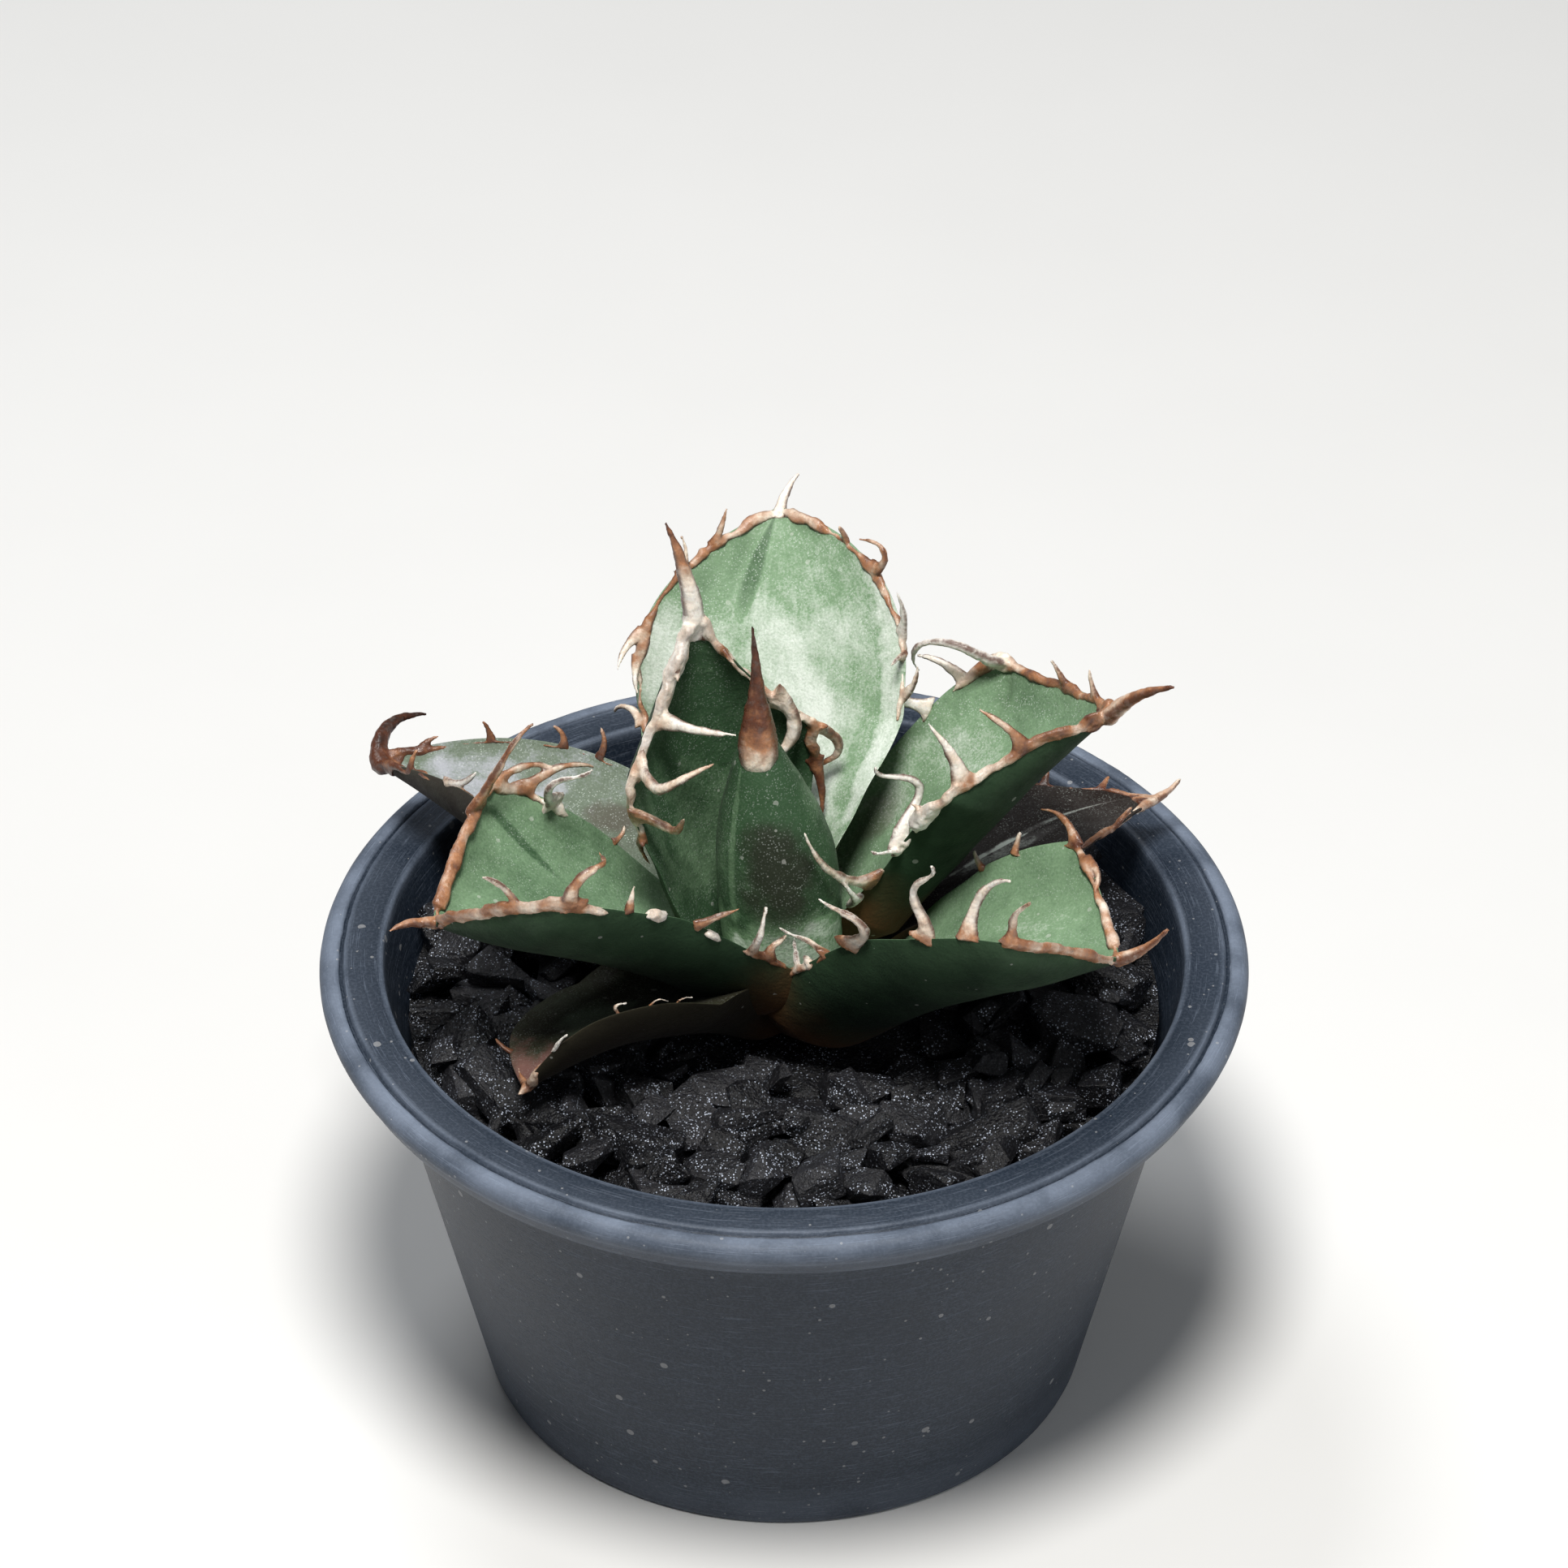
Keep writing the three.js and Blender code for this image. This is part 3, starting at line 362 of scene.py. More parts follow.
def lumpy(skin: Skin, seed: int) -> Skin:
    """A skin of quads with the lumps of horn raised out of it.

    Args:
        skin: the smooth skin.
        seed: chooses another pattern.

    Returns:
        The lumpy skin.
    """
    lumps = layered_noise(skin.points, LUMP_WIDTH, 3, seed)
    return Skin(skin.points + point_normals(skin) * (LUMP_HEIGHT * lumps)[:, None], skin.faces)


# Rods


@dataclass
class Rod:
    """A tapered rod with an oval section and a tone from pale (0) to dark horn (1) or past them.
    Tones below 0 make curled teeth paler than their horn, as painted light.

    Its two flanks are outlined in brown, each with a strength of its own.
    """

    line: Array
    wide: Array
    thick: Array
    top: Array
    tone: Array
    flanks: Pair = (0.9, 0.9)

    def side(self) -> Array:
        """The direction to the rod's first flank at each place."""
        return unit(np.cross(unit(np.gradient(self.line, axis=0)), self.top))

    def skin(self, around: int) -> Skin:
        """The rod's closed skin.

        Args:
            around: how many points each ring has.

        Returns:
            The skin.
        """
        side = self.side()
        top = np.cross(side, unit(np.gradient(self.line, axis=0)))
        angle = 2 * math.pi * (np.arange(around) + 0.5) / around
        sideways = np.cos(angle)[None, :, None] * (side * self.wide[:, None])[:, None]
        upward = np.sin(angle)[None, :, None] * (top * self.thick[:, None])[:, None]
        return skin_of_rings(self.line[:, None] + sideways + upward)


def horn_values(points: Array, rods: list[Rod]) -> dict[str, Array]:
    """The tone and the outline of the rods that are nearest to each point.

    Args:
        points: places on the skin.
        rods: the rods inside it.

    Returns:
        The tone and the border at each point.
    """
    spots = np.vstack([rod.line for rod in rods])
    reach = np.concatenate([(rod.wide + rod.thick) / 2 for rod in rods])
    wide = np.concatenate([rod.wide for rod in rods])
    side = np.vstack([rod.side() for rod in rods])
    tone = np.concatenate([rod.tone for rod in rods])
    flanks = np.vstack([np.tile(rod.flanks, (len(rod.line), 1)) for rod in rods])
    tones, border = np.empty(len(points)), np.empty(len(points))
    for first in range(0, len(points), POINTS_AT_ONCE):
        part = slice(first, first + POINTS_AT_ONCE)
        offset = points[part, None] - spots[None]
        away = np.linalg.norm(offset, axis=2) - reach
        weight = np.exp(-(away - away.min(axis=1, keepdims=True)) / TONE_BLEND)
        tones[part] = weight @ tone / weight.sum(axis=1)
        near = away.argmin(axis=1)
        spot = offset[np.arange(len(near)), near]
        across = np.sum(spot * side[near], axis=1) / wide[near]
        strength = np.where(across > 0, flanks[near, 0], flanks[near, 1])
        border[part] = smoothstep(0.5, 0.95, np.abs(across)) * strength
    return {"tone": tones, "border": border}


def carried(line: Array, first: Array) -> Array:
    """A direction carried along a line without twist.

    Args:
        line: the line's places.
        first: the direction at its first place.

    Returns:
        The direction at each place.
    """
    kept = []
    last = first
    for direction in unit(np.gradient(line, axis=0)):
        last = last - direction * np.dot(last, direction)
        last = last / max(np.linalg.norm(last), 1e-9)
        kept.append(last)
    return np.array(kept)


def walked(start: Array, length: float, directions: Array) -> Array:
    """The line from a start, one even step in each of the directions."""
    steps = np.cumsum(directions * (length / len(directions)), axis=0)
    return start + np.vstack([np.zeros(3), steps])


# Leaf shapes


class Side(Enum):
    """A blade's two edges, seen from above and from its root."""

    LEFT = 1
    RIGHT = -1


@dataclass(frozen=True)
class Tooth:
    """A tooth on a blade's edge. Its sweep turns towards the tip and its lift off the blade."""

    side: Side
    place: float
    length: float
    sweep: Pair
    lift: Pair
    wave: float
    tone: Pair
    girth: float = 1.0


@dataclass(frozen=True)
class Spine:
    """The spine at a blade's tip."""

    length: float
    turn: Pair
    lift: Pair
    tone: Pair


@dataclass(frozen=True)
class Fold:
    """A furrow in a blade's upper face between two places, each along and across it."""

    start: Pair
    end: Pair
    width: float
    depth: float


@dataclass(frozen=True)
class LeafShape:
    """One leaf. Pairs run from root to tip, and each edge's rows are place, half width and tone."""

    name: str
    base: Triple
    azimuth: Pair
    rise: Pair
    roll: Pair
    cup: Triple
    length: float
    width: float
    thickness: float
    widest: float
    bluntness: float
    left: Rows
    right: Rows
    teeth: list[Tooth]
    spine: Spine
    seed: int
    folds: tuple[Fold, ...] = ()
    small_tone: Pair = (0.6, 0.3)

    def edge(self, side: Side) -> Rows:
        """The rows of a side's horny edge."""
        return self.left if side is Side.LEFT else self.right


@dataclass
class Station:
    """Places on a blade's edge with the directions along, out of and away from it."""

    centre: Array
    along: Array
    up: Array
    outward: Array


class LeafForm:
    """The surfaces of one leaf. Place s runs from root (0) to tip (1), t across from -1 to 1."""

    EDGE = 0.8
    TIP_THICKNESS = 0.9
    ROOT = 11.0
    BAND_INSET = 0.35
    BAND_STEP = 0.7
    CAP_HALF_WIDTH = 3.7
    CAP_LIFT = 0.22
    TOOTH_TIP = 0.22
    SPINE_TIP = 0.24
    STEPS_PER_MM = 1.6
    TOOTH_SPACING = 8.5
    TOOTH_ROOM = 5.5
    STEPS = 240

    def __init__(self, shape: LeafShape) -> None:
        """Traces the leaf's middle line.

        Args:
            shape: the leaf's sizes.
        """
        self.shape = shape
        self.places = np.linspace(0, 1, self.STEPS + 1)
        along = self.axes(self.places)[0]
        steps = (along[1:] + along[:-1]) / 2 * (shape.length / self.STEPS)
        start = np.array(shape.base) + (0, 0, RIM_TOP)
        self.line = start + np.vstack([np.zeros(3), np.cumsum(steps, axis=0)])
        half = self.half_width(self.places)
        self.end = float(self.places[np.nonzero(half >= self.CAP_HALF_WIDTH)[0][-1]])

    def axes(self, s: Array) -> tuple[Array, Array, Array]:
        """The directions along, to the left of and up from the middle line.

        Args:
            s: places along the leaf.

        Returns:
            The three directions at each place.
        """
        held = np.clip(s, 0, 1)
        azimuth = np.radians(lerp(*self.shape.azimuth, held**1.3))
        rise = np.radians(lerp(*self.shape.rise, held))
        roll = np.radians(lerp(*self.shape.roll, held))[..., None]
        level = np.stack([-np.sin(azimuth), np.cos(azimuth), 0 * azimuth], axis=-1)
        flat = [np.cos(rise) * np.cos(azimuth), np.cos(rise) * np.sin(azimuth), np.sin(rise)]
        along = np.stack(flat, axis=-1)
        left = level * np.cos(roll) + np.cross(along, level) * np.sin(roll)
        return along, left, np.cross(along, left)

    def midrib(self, s: Array) -> Array:
        """The middle line's places, with a straight root behind its start.

        Args:
            s: places along the leaf.

        Returns:
            The points.
        """
        held = np.clip(s, 0, 1)
        spots = [np.interp(held, self.places, self.line[:, k]) for k in range(3)]
        root = self.axes(s)[0] * (np.minimum(s, 0) * self.shape.length)[..., None]
        return np.stack(spots, axis=-1) + root

    def root_share(self, s: Array) -> Array:
        """How far behind the leaf's start a place lies, from 0 to 1."""
        return np.clip(-s * self.shape.length / self.ROOT, 0, 1)

    def half_width(self, s: Array) -> Array:
        """Half the leaf's width along its curved section.

        Args:
            s: places along the leaf.

        Returns:
            The half widths.
        """
        widest = self.shape.widest
        rising = np.clip(s / widest, 0, 1)
        low = 0.68 + 0.32 * rising * rising * (3 - 2 * rising)
        low = low + 0.02 * np.clip(1 - s / 0.22, 0, 1) ** 2
        past = np.clip((s - widest) / (1 - widest), 0, 1)
        high = 0.04 + 0.96 * (1 - past**self.shape.bluntness)
        half = self.shape.width / 2 * np.where(s >= widest, high, low)
        return half * (1 - 0.45 * self.root_share(s))

    def thickness(self, s: Array, t: Array) -> Array:
        """The leaf's thickness.

        Args:
            s: places along the leaf.
            t: places across it.

        Returns:
            The thicknesses.
        """
        held = np.clip(s, 0, 1)
        body = self.shape.thickness - self.TIP_THICKNESS
        middle = self.TIP_THICKNESS + body * 0.92 * (1 - held**1.3)
        thick = self.EDGE + (middle - self.EDGE) * (1 - np.abs(t) ** 2.2)
        return thick * (1 - 0.5 * self.root_share(s))

    def relief(self, s: Array, t: Array) -> Array:
        """How far the upper face stands above its plain form.

        Args:
            s: places along the leaf.
            t: places across it.

        Returns:
            The heights.
        """
        along = s * self.shape.length
        across = t * self.half_width(s)
        spots = np.stack([along, across, 0 * along], axis=-1).reshape(-1, 3)
        lumps = layered_noise(spots, 11, 2, self.shape.seed).reshape(s.shape)
        wave = soft_noise(spots, 6.5, self.shape.seed + 9).reshape(s.shape)
        height = 0.16 * lumps + 0.42 * wave * np.abs(t) ** 3
        for fold in self.shape.folds:
            start = np.array([fold.start[0] * self.shape.length, fold.start[1]])
            end = np.array([fold.end[0] * self.shape.length, fold.end[1]])
            scale = np.array([1, self.shape.width / 2])
            start, end = start * scale, end * scale
            spot = np.stack([along, across], axis=-1)
            run = end - start
            share = np.clip((spot - start) @ run / np.dot(run, run), 0, 1)
            away = np.linalg.norm(spot - start - share[..., None] * run, axis=-1)
            fade = np.sin(math.pi * np.clip(share, 0.12, 0.88))
            height = height - fold.depth * fade * np.exp(-((away / fold.width) ** 2))
        return height * (1 - self.root_share(s)) * (1 - 0.6 * smoothstep(0.9, 1, s))

    def surface(self, s: Array, t: Array) -> tuple[Array, Array]:
        """The upper face.

        Args:
            s: places along the leaf.
            t: places across it.

        Returns:
            The points, and the direction out of the face at each.
        """
        _, left, up = self.axes(s)
        cup = np.interp(np.clip(s, 0, 1), [0, 0.45, 1], np.radians(self.shape.cup))
        turn = (cup * t)[..., None]
        radius = (self.half_width(s) / cup)[..., None]
        place = self.midrib(s) + left * radius * np.sin(turn) + up * radius * (1 - np.cos(turn))
        out = up * np.cos(turn) - left * np.sin(turn)
        return place + out * self.relief(s, t)[..., None], out

    def blade(self, start: float, end: float, rows: int, around: int, grow: float = 0) -> Skin:
        """The closed skin of a stretch of the blade.

        Args:
            start: where it starts along the leaf.
            end: where it ends.
            rows: how many rings it has.
            around: how many points each ring has.
            grow: how far it stands out from the blade's own faces.

        Returns:
            The skin, with its places along and across and its upper face marked.
        """
        angle = 2 * math.pi * (np.arange(around) + 0.5) / around
        s = np.repeat(np.linspace(start, end, rows)[:, None], around, axis=1)
        t = np.repeat(np.cos(angle)[None, :], rows, axis=0)
        upper = np.where(np.sin(angle) > 0, 1.0, -1.0)[None, :]
        place, out = self.surface(s, t)
        thick = self.thickness(s, t)
        bulge = np.sqrt(1 - np.abs(t) ** 8)
        lift = upper * bulge * (thick / 2 + grow) - thick / 2
        side = self.axes(s)[1] * (t * np.abs(t) ** 8)[..., None] * grow
        values = {"along": s, "across": t, "face": np.broadcast_to(upper > 0, s.shape)}
        return skin_of_rings(place + out * lift[..., None] + side, values)

    def station(self, s: Array, side: Side) -> Station:
        """The blade's edge.

        Args:
            s: places along the leaf.
            side: which edge.

        Returns:
            The edge's places and directions.
        """
        t = np.full_like(s, side.value, dtype=float)
        place, out = self.surface(s, t)
        after = self.surface(np.minimum(s + 0.01, 1), t)[0]
        along = unit(after - self.surface(s - 0.01, t)[0])
        up = unit(out - along * np.sum(out * along, axis=-1, keepdims=True))
        return Station(place - out * self.EDGE / 2, along, up, np.cross(along, up) * -side.value)

    def small_teeth(self) -> list[Tooth]:
        """The small teeth on the stretches of edge that have no large one.

        Returns:
            The teeth.
        """
        draws = Draws(self.shape.seed)
        teeth = []
        for side in Side:
            s = self.shape.edge(side)[0][0] + 0.06
            while s < 0.93:
                length = draws.between(3, 5.5)
                sweep = draws.between(-60, 40)
                curl = draws.between(-70, 70)
                lift = draws.between(5, 40)
                gaps = [abs(t.place - s) for t in self.shape.teeth if t.side is side]
                if all(gap * self.shape.length > self.TOOTH_ROOM for gap in gaps):
                    sweeps = (sweep, sweep + curl)
                    tone = self.shape.small_tone
                    teeth.append(Tooth(side, s, length, sweeps, (lift, lift), 0, tone))
                s += self.TOOTH_SPACING / self.shape.length * draws.between(0.8, 1.2)
        return teeth

    def tooth_rod(self, tooth: Tooth) -> Rod:
        """The rod of one tooth, with a foot spread along the blade's edge.

        Args:
            tooth: its sizes.

        Returns:
            The rod.
        """
        edge = self.station(np.array([tooth.place]), tooth.side)
        along, up, outward = edge.along[0], edge.up[0], edge.outward[0]
        steps = max(8, int(tooth.length * self.STEPS_PER_MM))
        share = (np.arange(steps) + 0.5) / steps
        sweep = lerp(*tooth.sweep, share) + tooth.wave * np.sin(2 * math.pi * share)
        sweep = np.radians(sweep)[:, None]
        lift = np.radians(lerp(*tooth.lift, share))[:, None]
        level = outward * np.cos(sweep) + along * np.sin(sweep)
        root = edge.centre[0] - outward * self.BAND_INSET
        line = walked(root, tooth.length, level * np.cos(lift) + up * np.sin(lift))
        share = np.arange(steps + 1) / steps
        size = 0.9 * tooth.girth * np.clip(0.5 + tooth.length / 30, 0.55, 1.1)
        radius = lerp(self.TOOTH_TIP, size, (1 - share**1.5) ** 0.9)
        knobs = 1 + 0.2 * soft_noise(line, 2.2, self.shape.seed)
        foot = np.exp(-share * tooth.length / 1.7) * min(2.1, tooth.length / 7)
        tone = lerp(*tooth.tone, share**0.8) + 0.35 * np.exp(-share * tooth.length / 1.3)
        wide = radius * knobs * (1 + foot)
        return Rod(line, wide, radius * knobs * 0.88, carried(line, up), tone)

    def band_rod(self, side: Side) -> Rod:
        """The rod of the horny band along one edge, up to the tip.

        Args:
            side: which edge.

        Returns:
            The rod.
        """
        rows = np.array(self.shape.edge(side))
        count = int((1 - rows[0, 0]) * self.shape.length / self.BAND_STEP)
        s = np.linspace(rows[0, 0], 0.992, count)
        edge = self.station(s, side)
        seed = self.shape.seed * 10 + side.value
        knobs = layered_noise(edge.centre, 2.7, 2, seed)
        wander = soft_noise(edge.centre, 2.6, seed + 5)
        wide = np.interp(s, rows[:, 0], rows[:, 1])
        thick = 0.5 + 0.16 * wide + 0.6 * np.maximum(wide - 1.3, 0)
        shown = smoothstep(0.05, 0.45, wide)
        start = smoothstep(-0.01, 0.06, s - rows[0, 0])
        shift = (wide - 1) * 0.45 - self.BAND_INSET + 0.5 * wander * shown
        line = edge.centre + edge.outward * shift[:, None] + edge.up * (0.34 * knobs)[:, None]
        wide = wide * (0.9 + 0.5 * knobs) * start * shown + 0.14
        thick = thick * (1 + 0.25 * wander) * np.sqrt(start) * shown + 0.08
        tone = np.interp(s, rows[:, 0], rows[:, 2]) + 0.14 * knobs
        flanks = (1.0, 0.4) if side is Side.LEFT else (0.4, 1.0)
        return Rod(line, wide, thick, edge.up, np.clip(tone, 0, 1), flanks)

    def spine_rod(self) -> Rod:
        """The rod of the spine, with its root running back under the tip.

        Returns:
            The rod.
        """
        spine = self.shape.spine
        along, left, up = (axis[0] for axis in self.axes(np.array([1.0])))
        steps = max(10, int(spine.length * self.STEPS_PER_MM))
        share = (np.arange(steps) + 0.5) / steps
        turn = np.radians(lerp(*spine.turn, share))[:, None]
        lift = np.radians(lerp(*spine.lift, share))[:, None]
        level = along * np.cos(turn) + left * np.sin(turn)
        tip = self.midrib(np.array([1.0]))[0] - up * 0.5
        line = walked(tip, spine.length, level * np.cos(lift) + up * np.sin(lift))
        back = np.linspace(self.end - 0.01, 1, 9)[:-1]
        root = self.midrib(back) - self.axes(back)[2] * 0.6
        share = np.arange(steps + 1) / steps
        size = 2 * np.clip(0.25 + spine.length / 25, 0.45, 1.05)
        radius = lerp(self.SPINE_TIP, size, (1 - share) ** 0.9)
        radius = np.concatenate([size * np.linspace(0.25, 1, 8), radius])
        line = np.vstack([root, line])
        radius = radius * (1 + 0.06 * soft_noise(line, 2.5, self.shape.seed + 3))
        tone = np.concatenate([np.full(8, spine.tone[0]), lerp(*spine.tone, share**1.2)])
        return Rod(line, radius, radius * 0.92, carried(line, up), tone)


# Shading


class SocketKind(Enum):
    """The kinds of socket that a shader node group has."""

    VALUE = "NodeSocketFloat"
    COLOUR = "NodeSocketColor"
    VECTOR = "NodeSocketVector"


class Wiring:
    """A node tree and short ways to add nodes to it."""

    def __init__(self, tree: Tree) -> None:
        """Keeps the tree that nodes go into."""
        self.tree = tree

    def feed(self, socket: Socket, value: Input) -> None:
        """Links a socket or sets its value.

        Args:
            socket: an input.
            value: an output to link, or a number, colour or vector to set.
        """
        if isinstance(value, Socket):
            self.tree.links.new(value, socket)
        elif isinstance(value, tuple) and socket.type == "RGBA":
            socket.default_value = (*value, 1)
        else:
            socket.default_value = value

    def add(self, kind: str, inputs: dict[str | int, Input], **settings: object) -> Node:
        """Adds a node.

        Args:
            kind: its Blender type.
            inputs: what goes into its sockets, by name or number.
            settings: its other settings.

        Returns:
            The node.
        """
        node = self.tree.nodes.new(kind)
        for key, setting in settings.items():
            setattr(node, key, setting)
        for key, value in inputs.items():
            self.feed(node.inputs[key], value)
        return node

    def group(self, tree: Tree, **inputs: Input) -> Node:
        """Places a node group, with its inputs by name."""
        return self.add("ShaderNodeGroup", inputs, node_tree=tree)

    def mask(self, tree: Tree, **inputs: Input) -> Socket:
        """The mask of a node group, with its inputs by name."""
        return self.group(tree, **inputs).outputs["Mask"]

    def math(self, operation: str, first: Input, second: Input = 0.0, third: Input = 0.0) -> Socket:
        """The result of an operation on numbers, kept as it is.

        Args:
            operation: the Math node's operation.
            first: its first number.
            second: its second number.
            third: its third number.

        Returns:
            The result.
        """
        numbers = {0: first, 1: second, 2: third}
        return self.add("ShaderNodeMath", numbers, operation=operation).outputs[0]

    def span(self, value: Input, low: float, high: float, first: float, last: float) -> Socket:
        """A smooth passage from a first value at low to a last value at high.

        Args:
            value: the number that moves.
            low: where the passage starts.
            high: where it ends.
            first: the result up to low.
            last: the result from high on.

        Returns:
            The result.
        """
        numbers = {"Value": value, "From Min": low, "From Max": high}
        numbers |= {"To Min": first, "To Max": last}
        node = self.add("ShaderNodeMapRange", numbers, interpolation_type="SMOOTHSTEP")
        return node.outputs["Result"]

    def mix(self, share: Input, first: Input, second: Input) -> Socket:
        """A mix of two colours.

        Args:
            share: the second colour's share.
            first: the first colour.
            second: the second colour.

        Returns:
            The colour.
        """
        colours = {0: share, 6: first, 7: second}
        return self.add("ShaderNodeMix", colours, data_type="RGBA").outputs[2]

    def ramp(self, value: Input, stops: tuple[tuple[float, Triple], ...]) -> Socket:
        """A colour between stops.

        Args:
            value: the place on the ramp.
            stops: a place and a colour each.

        Returns:
            The colour.
        """
        node = self.add("ShaderNodeValToRGB", {0: value})
        elements = node.color_ramp.elements
        while len(elements) < len(stops):
            elements.new(0.5)
        for element, (place, colour) in zip(elements, stops):
            element.position = place
            element.color = (*colour, 1)
        return node.outputs[0]

    def noise(self, place: Socket, size: float, detail: float = 3.0) -> Socket:
        """Noise from 0 to 1 with lumps of a size in millimetres."""
        inputs = {"Vector": place, "Scale": 1 / (size * MM), "Detail": detail, "Roughness": 0.55}
        return self.add("ShaderNodeTexNoise", inputs).outputs[0]

    def cells(self, place: Socket, size: Input, output: str = "Distance") -> Socket:
        """A cell pattern with cells of a size in millimetres.

        Args:
            place: where the pattern is read.
            size: a cell's width.
            output: what is read of each cell.

        Returns:
            The distance to the nearest cell's middle, or its random colour.
        """
        scale = self.math("DIVIDE", 1 / MM, size) if isinstance(size, Socket) else 1 / (size * MM)
        return self.add("ShaderNodeTexVoronoi", {"Vector": place, "Scale": scale}).outputs[output]

    def place(self) -> Socket:
        """The place on the object itself."""
        return self.tree.nodes.new("ShaderNodeTexCoord").outputs["Object"]

    def value(self, name: str) -> Socket:
        """A value that the mesh carries at each point."""
        return self.add("ShaderNodeAttribute", {}, attribute_name=name).outputs["Fac"]

    def bump(self, height: Socket, depth: float, strength: float = 1.0) -> Socket:
        """The normal of a surface with a relief of a depth in millimetres."""
        inputs = {"Height": height, "Distance": depth * MM, "Strength": strength}
        return self.add("ShaderNodeBump", inputs).outputs[0]


class Effects:
    """The shader node groups that several materials share."""

    def __init__(self) -> None:
        """Builds each group once."""
        self.mottle = self.build_mottle()
        self.stipple = self.build_stipple()
        self.mark = self.build_mark()
        self.specks = self.build_specks()
        self.horn = self.build_horn()

    @staticmethod
    def start(
        name: str, numbers: tuple[str, ...], outputs: dict[str, SocketKind] | None = None
    ) -> tuple[Wiring, Node, Node]:
        """Starts a node group that reads a place and some numbers.

        Args:
            name: its name.
            numbers: the names of the numbers.
            outputs: the kind of each named output, where it isn't a mask alone.

        Returns:
            Its wiring, its input node and its output node.
        """
        tree = bpy.data.node_groups.new(name, "ShaderNodeTree")
        inputs = {"Place": SocketKind.VECTOR} | {key: SocketKind.VALUE for key in numbers}
        for key, kind in inputs.items():
            tree.interface.new_socket(key, in_out="INPUT", socket_type=kind.value)
        for key, kind in (outputs or {"Mask": SocketKind.VALUE}).items():
            tree.interface.new_socket(key, in_out="OUTPUT", socket_type=kind.value)
        wiring = Wiring(tree)
        entry = tree.nodes.new("NodeGroupInput")
        return wiring, entry, tree.nodes.new("NodeGroupOutput")

    def build_mottle(self) -> Tree:
        """Soft clouds of a size in millimetres, from 0 to 1 round 0.5.

        Returns:
            The group.
        """
        wires, entry, end = self.start("Cloud_Mottle", ("Size", "Contrast"))
        scale = wires.math("DIVIDE", 1 / MM, entry.outputs["Size"])
        inputs = {"Vector": entry.outputs["Place"], "Scale": scale, "Detail": 4.0}
        cloud = wires.add("ShaderNodeTexNoise", inputs).outputs[0]
        centred = wires.math("SUBTRACT", cloud, 0.5)
        spread = wires.math("MULTIPLY_ADD", centred, entry.outputs["Contrast"], 0.5)
        wires.feed(end.inputs["Mask"], wires.math("MAXIMUM", wires.math("MINIMUM", spread, 1), 0))
        return wires.tree

    def build_stipple(self) -> Tree:
        """Fine dots a spacing apart in millimetres, each a share of it wide.

        Returns:
            The group.
        """
        wires, entry, end = self.start("Fine_Stipple", ("Spacing", "Dot"))
        away = wires.cells(entry.outputs["Place"], entry.outputs["Spacing"])
        near = wires.math("DIVIDE", away, entry.outputs["Dot"])
        dots = wires.span(near, 0.3, 1, 1, 0)
        patches = wires.span(wires.noise(entry.outputs["Place"], 3), 0.4, 0.62, 0.2, 1)
        wires.feed(end.inputs["Mask"], wires.math("MULTIPLY", dots, patches))
        return wires.tree

    def build_mark(self) -> Tree:
        """A ragged soft spot, its middle and reach given along and across a blade.

        Returns:
            The group.
        """
        names = ("Along", "Across", "Middle Along", "Middle Across", "Reach Along", "Reach Across")
        wires, entry, end = self.start("Soft_Mark", (*names, "Slant", "Ragged"))
        source = entry.outputs
        along = wires.math("SUBTRACT", source["Along"], source["Middle Along"])
        across = wires.math("SUBTRACT", source["Across"], source["Middle Across"])
        across = wires.math("SUBTRACT", across, wires.math("MULTIPLY", along, source["Slant"]))
        along = wires.math("DIVIDE", along, source["Reach Along"])
        across = wires.math("DIVIDE", across, source["Reach Across"])
        square = wires.math("MULTIPLY", along, along)
        square = wires.math("MULTIPLY_ADD", across, across, square)
        noise = wires.math("SUBTRACT", wires.noise(source["Place"], 5, 5), 0.5)
        edge = wires.math("MULTIPLY_ADD", noise, source["Ragged"], square)
        wires.feed(end.inputs["Mask"], wires.span(edge, 0.15, 1.25, 1, 0))
        return wires.tree

    def build_specks(self) -> Tree:
        """Scattered specks of dust, in a share of the cells of a size in millimetres.

        Returns:
            The group.
        """
        wires, entry, end = self.start("Dust_Specks", ("Size", "Amount"))
        place, size = entry.outputs["Place"], entry.outputs["Size"]
        colour = wires.cells(place, size, "Color")
        parts = wires.add("ShaderNodeSeparateColor", {0: colour}).outputs
        chosen = wires.math("LESS_THAN", parts[0], entry.outputs["Amount"])
        width = wires.math("MULTIPLY_ADD", parts[1], 0.3, 0.08)
        near = wires.math("LESS_THAN", wires.cells(place, size), width)
        wires.feed(end.inputs["Mask"], wires.math("MULTIPLY", chosen, near))
        return wires.tree

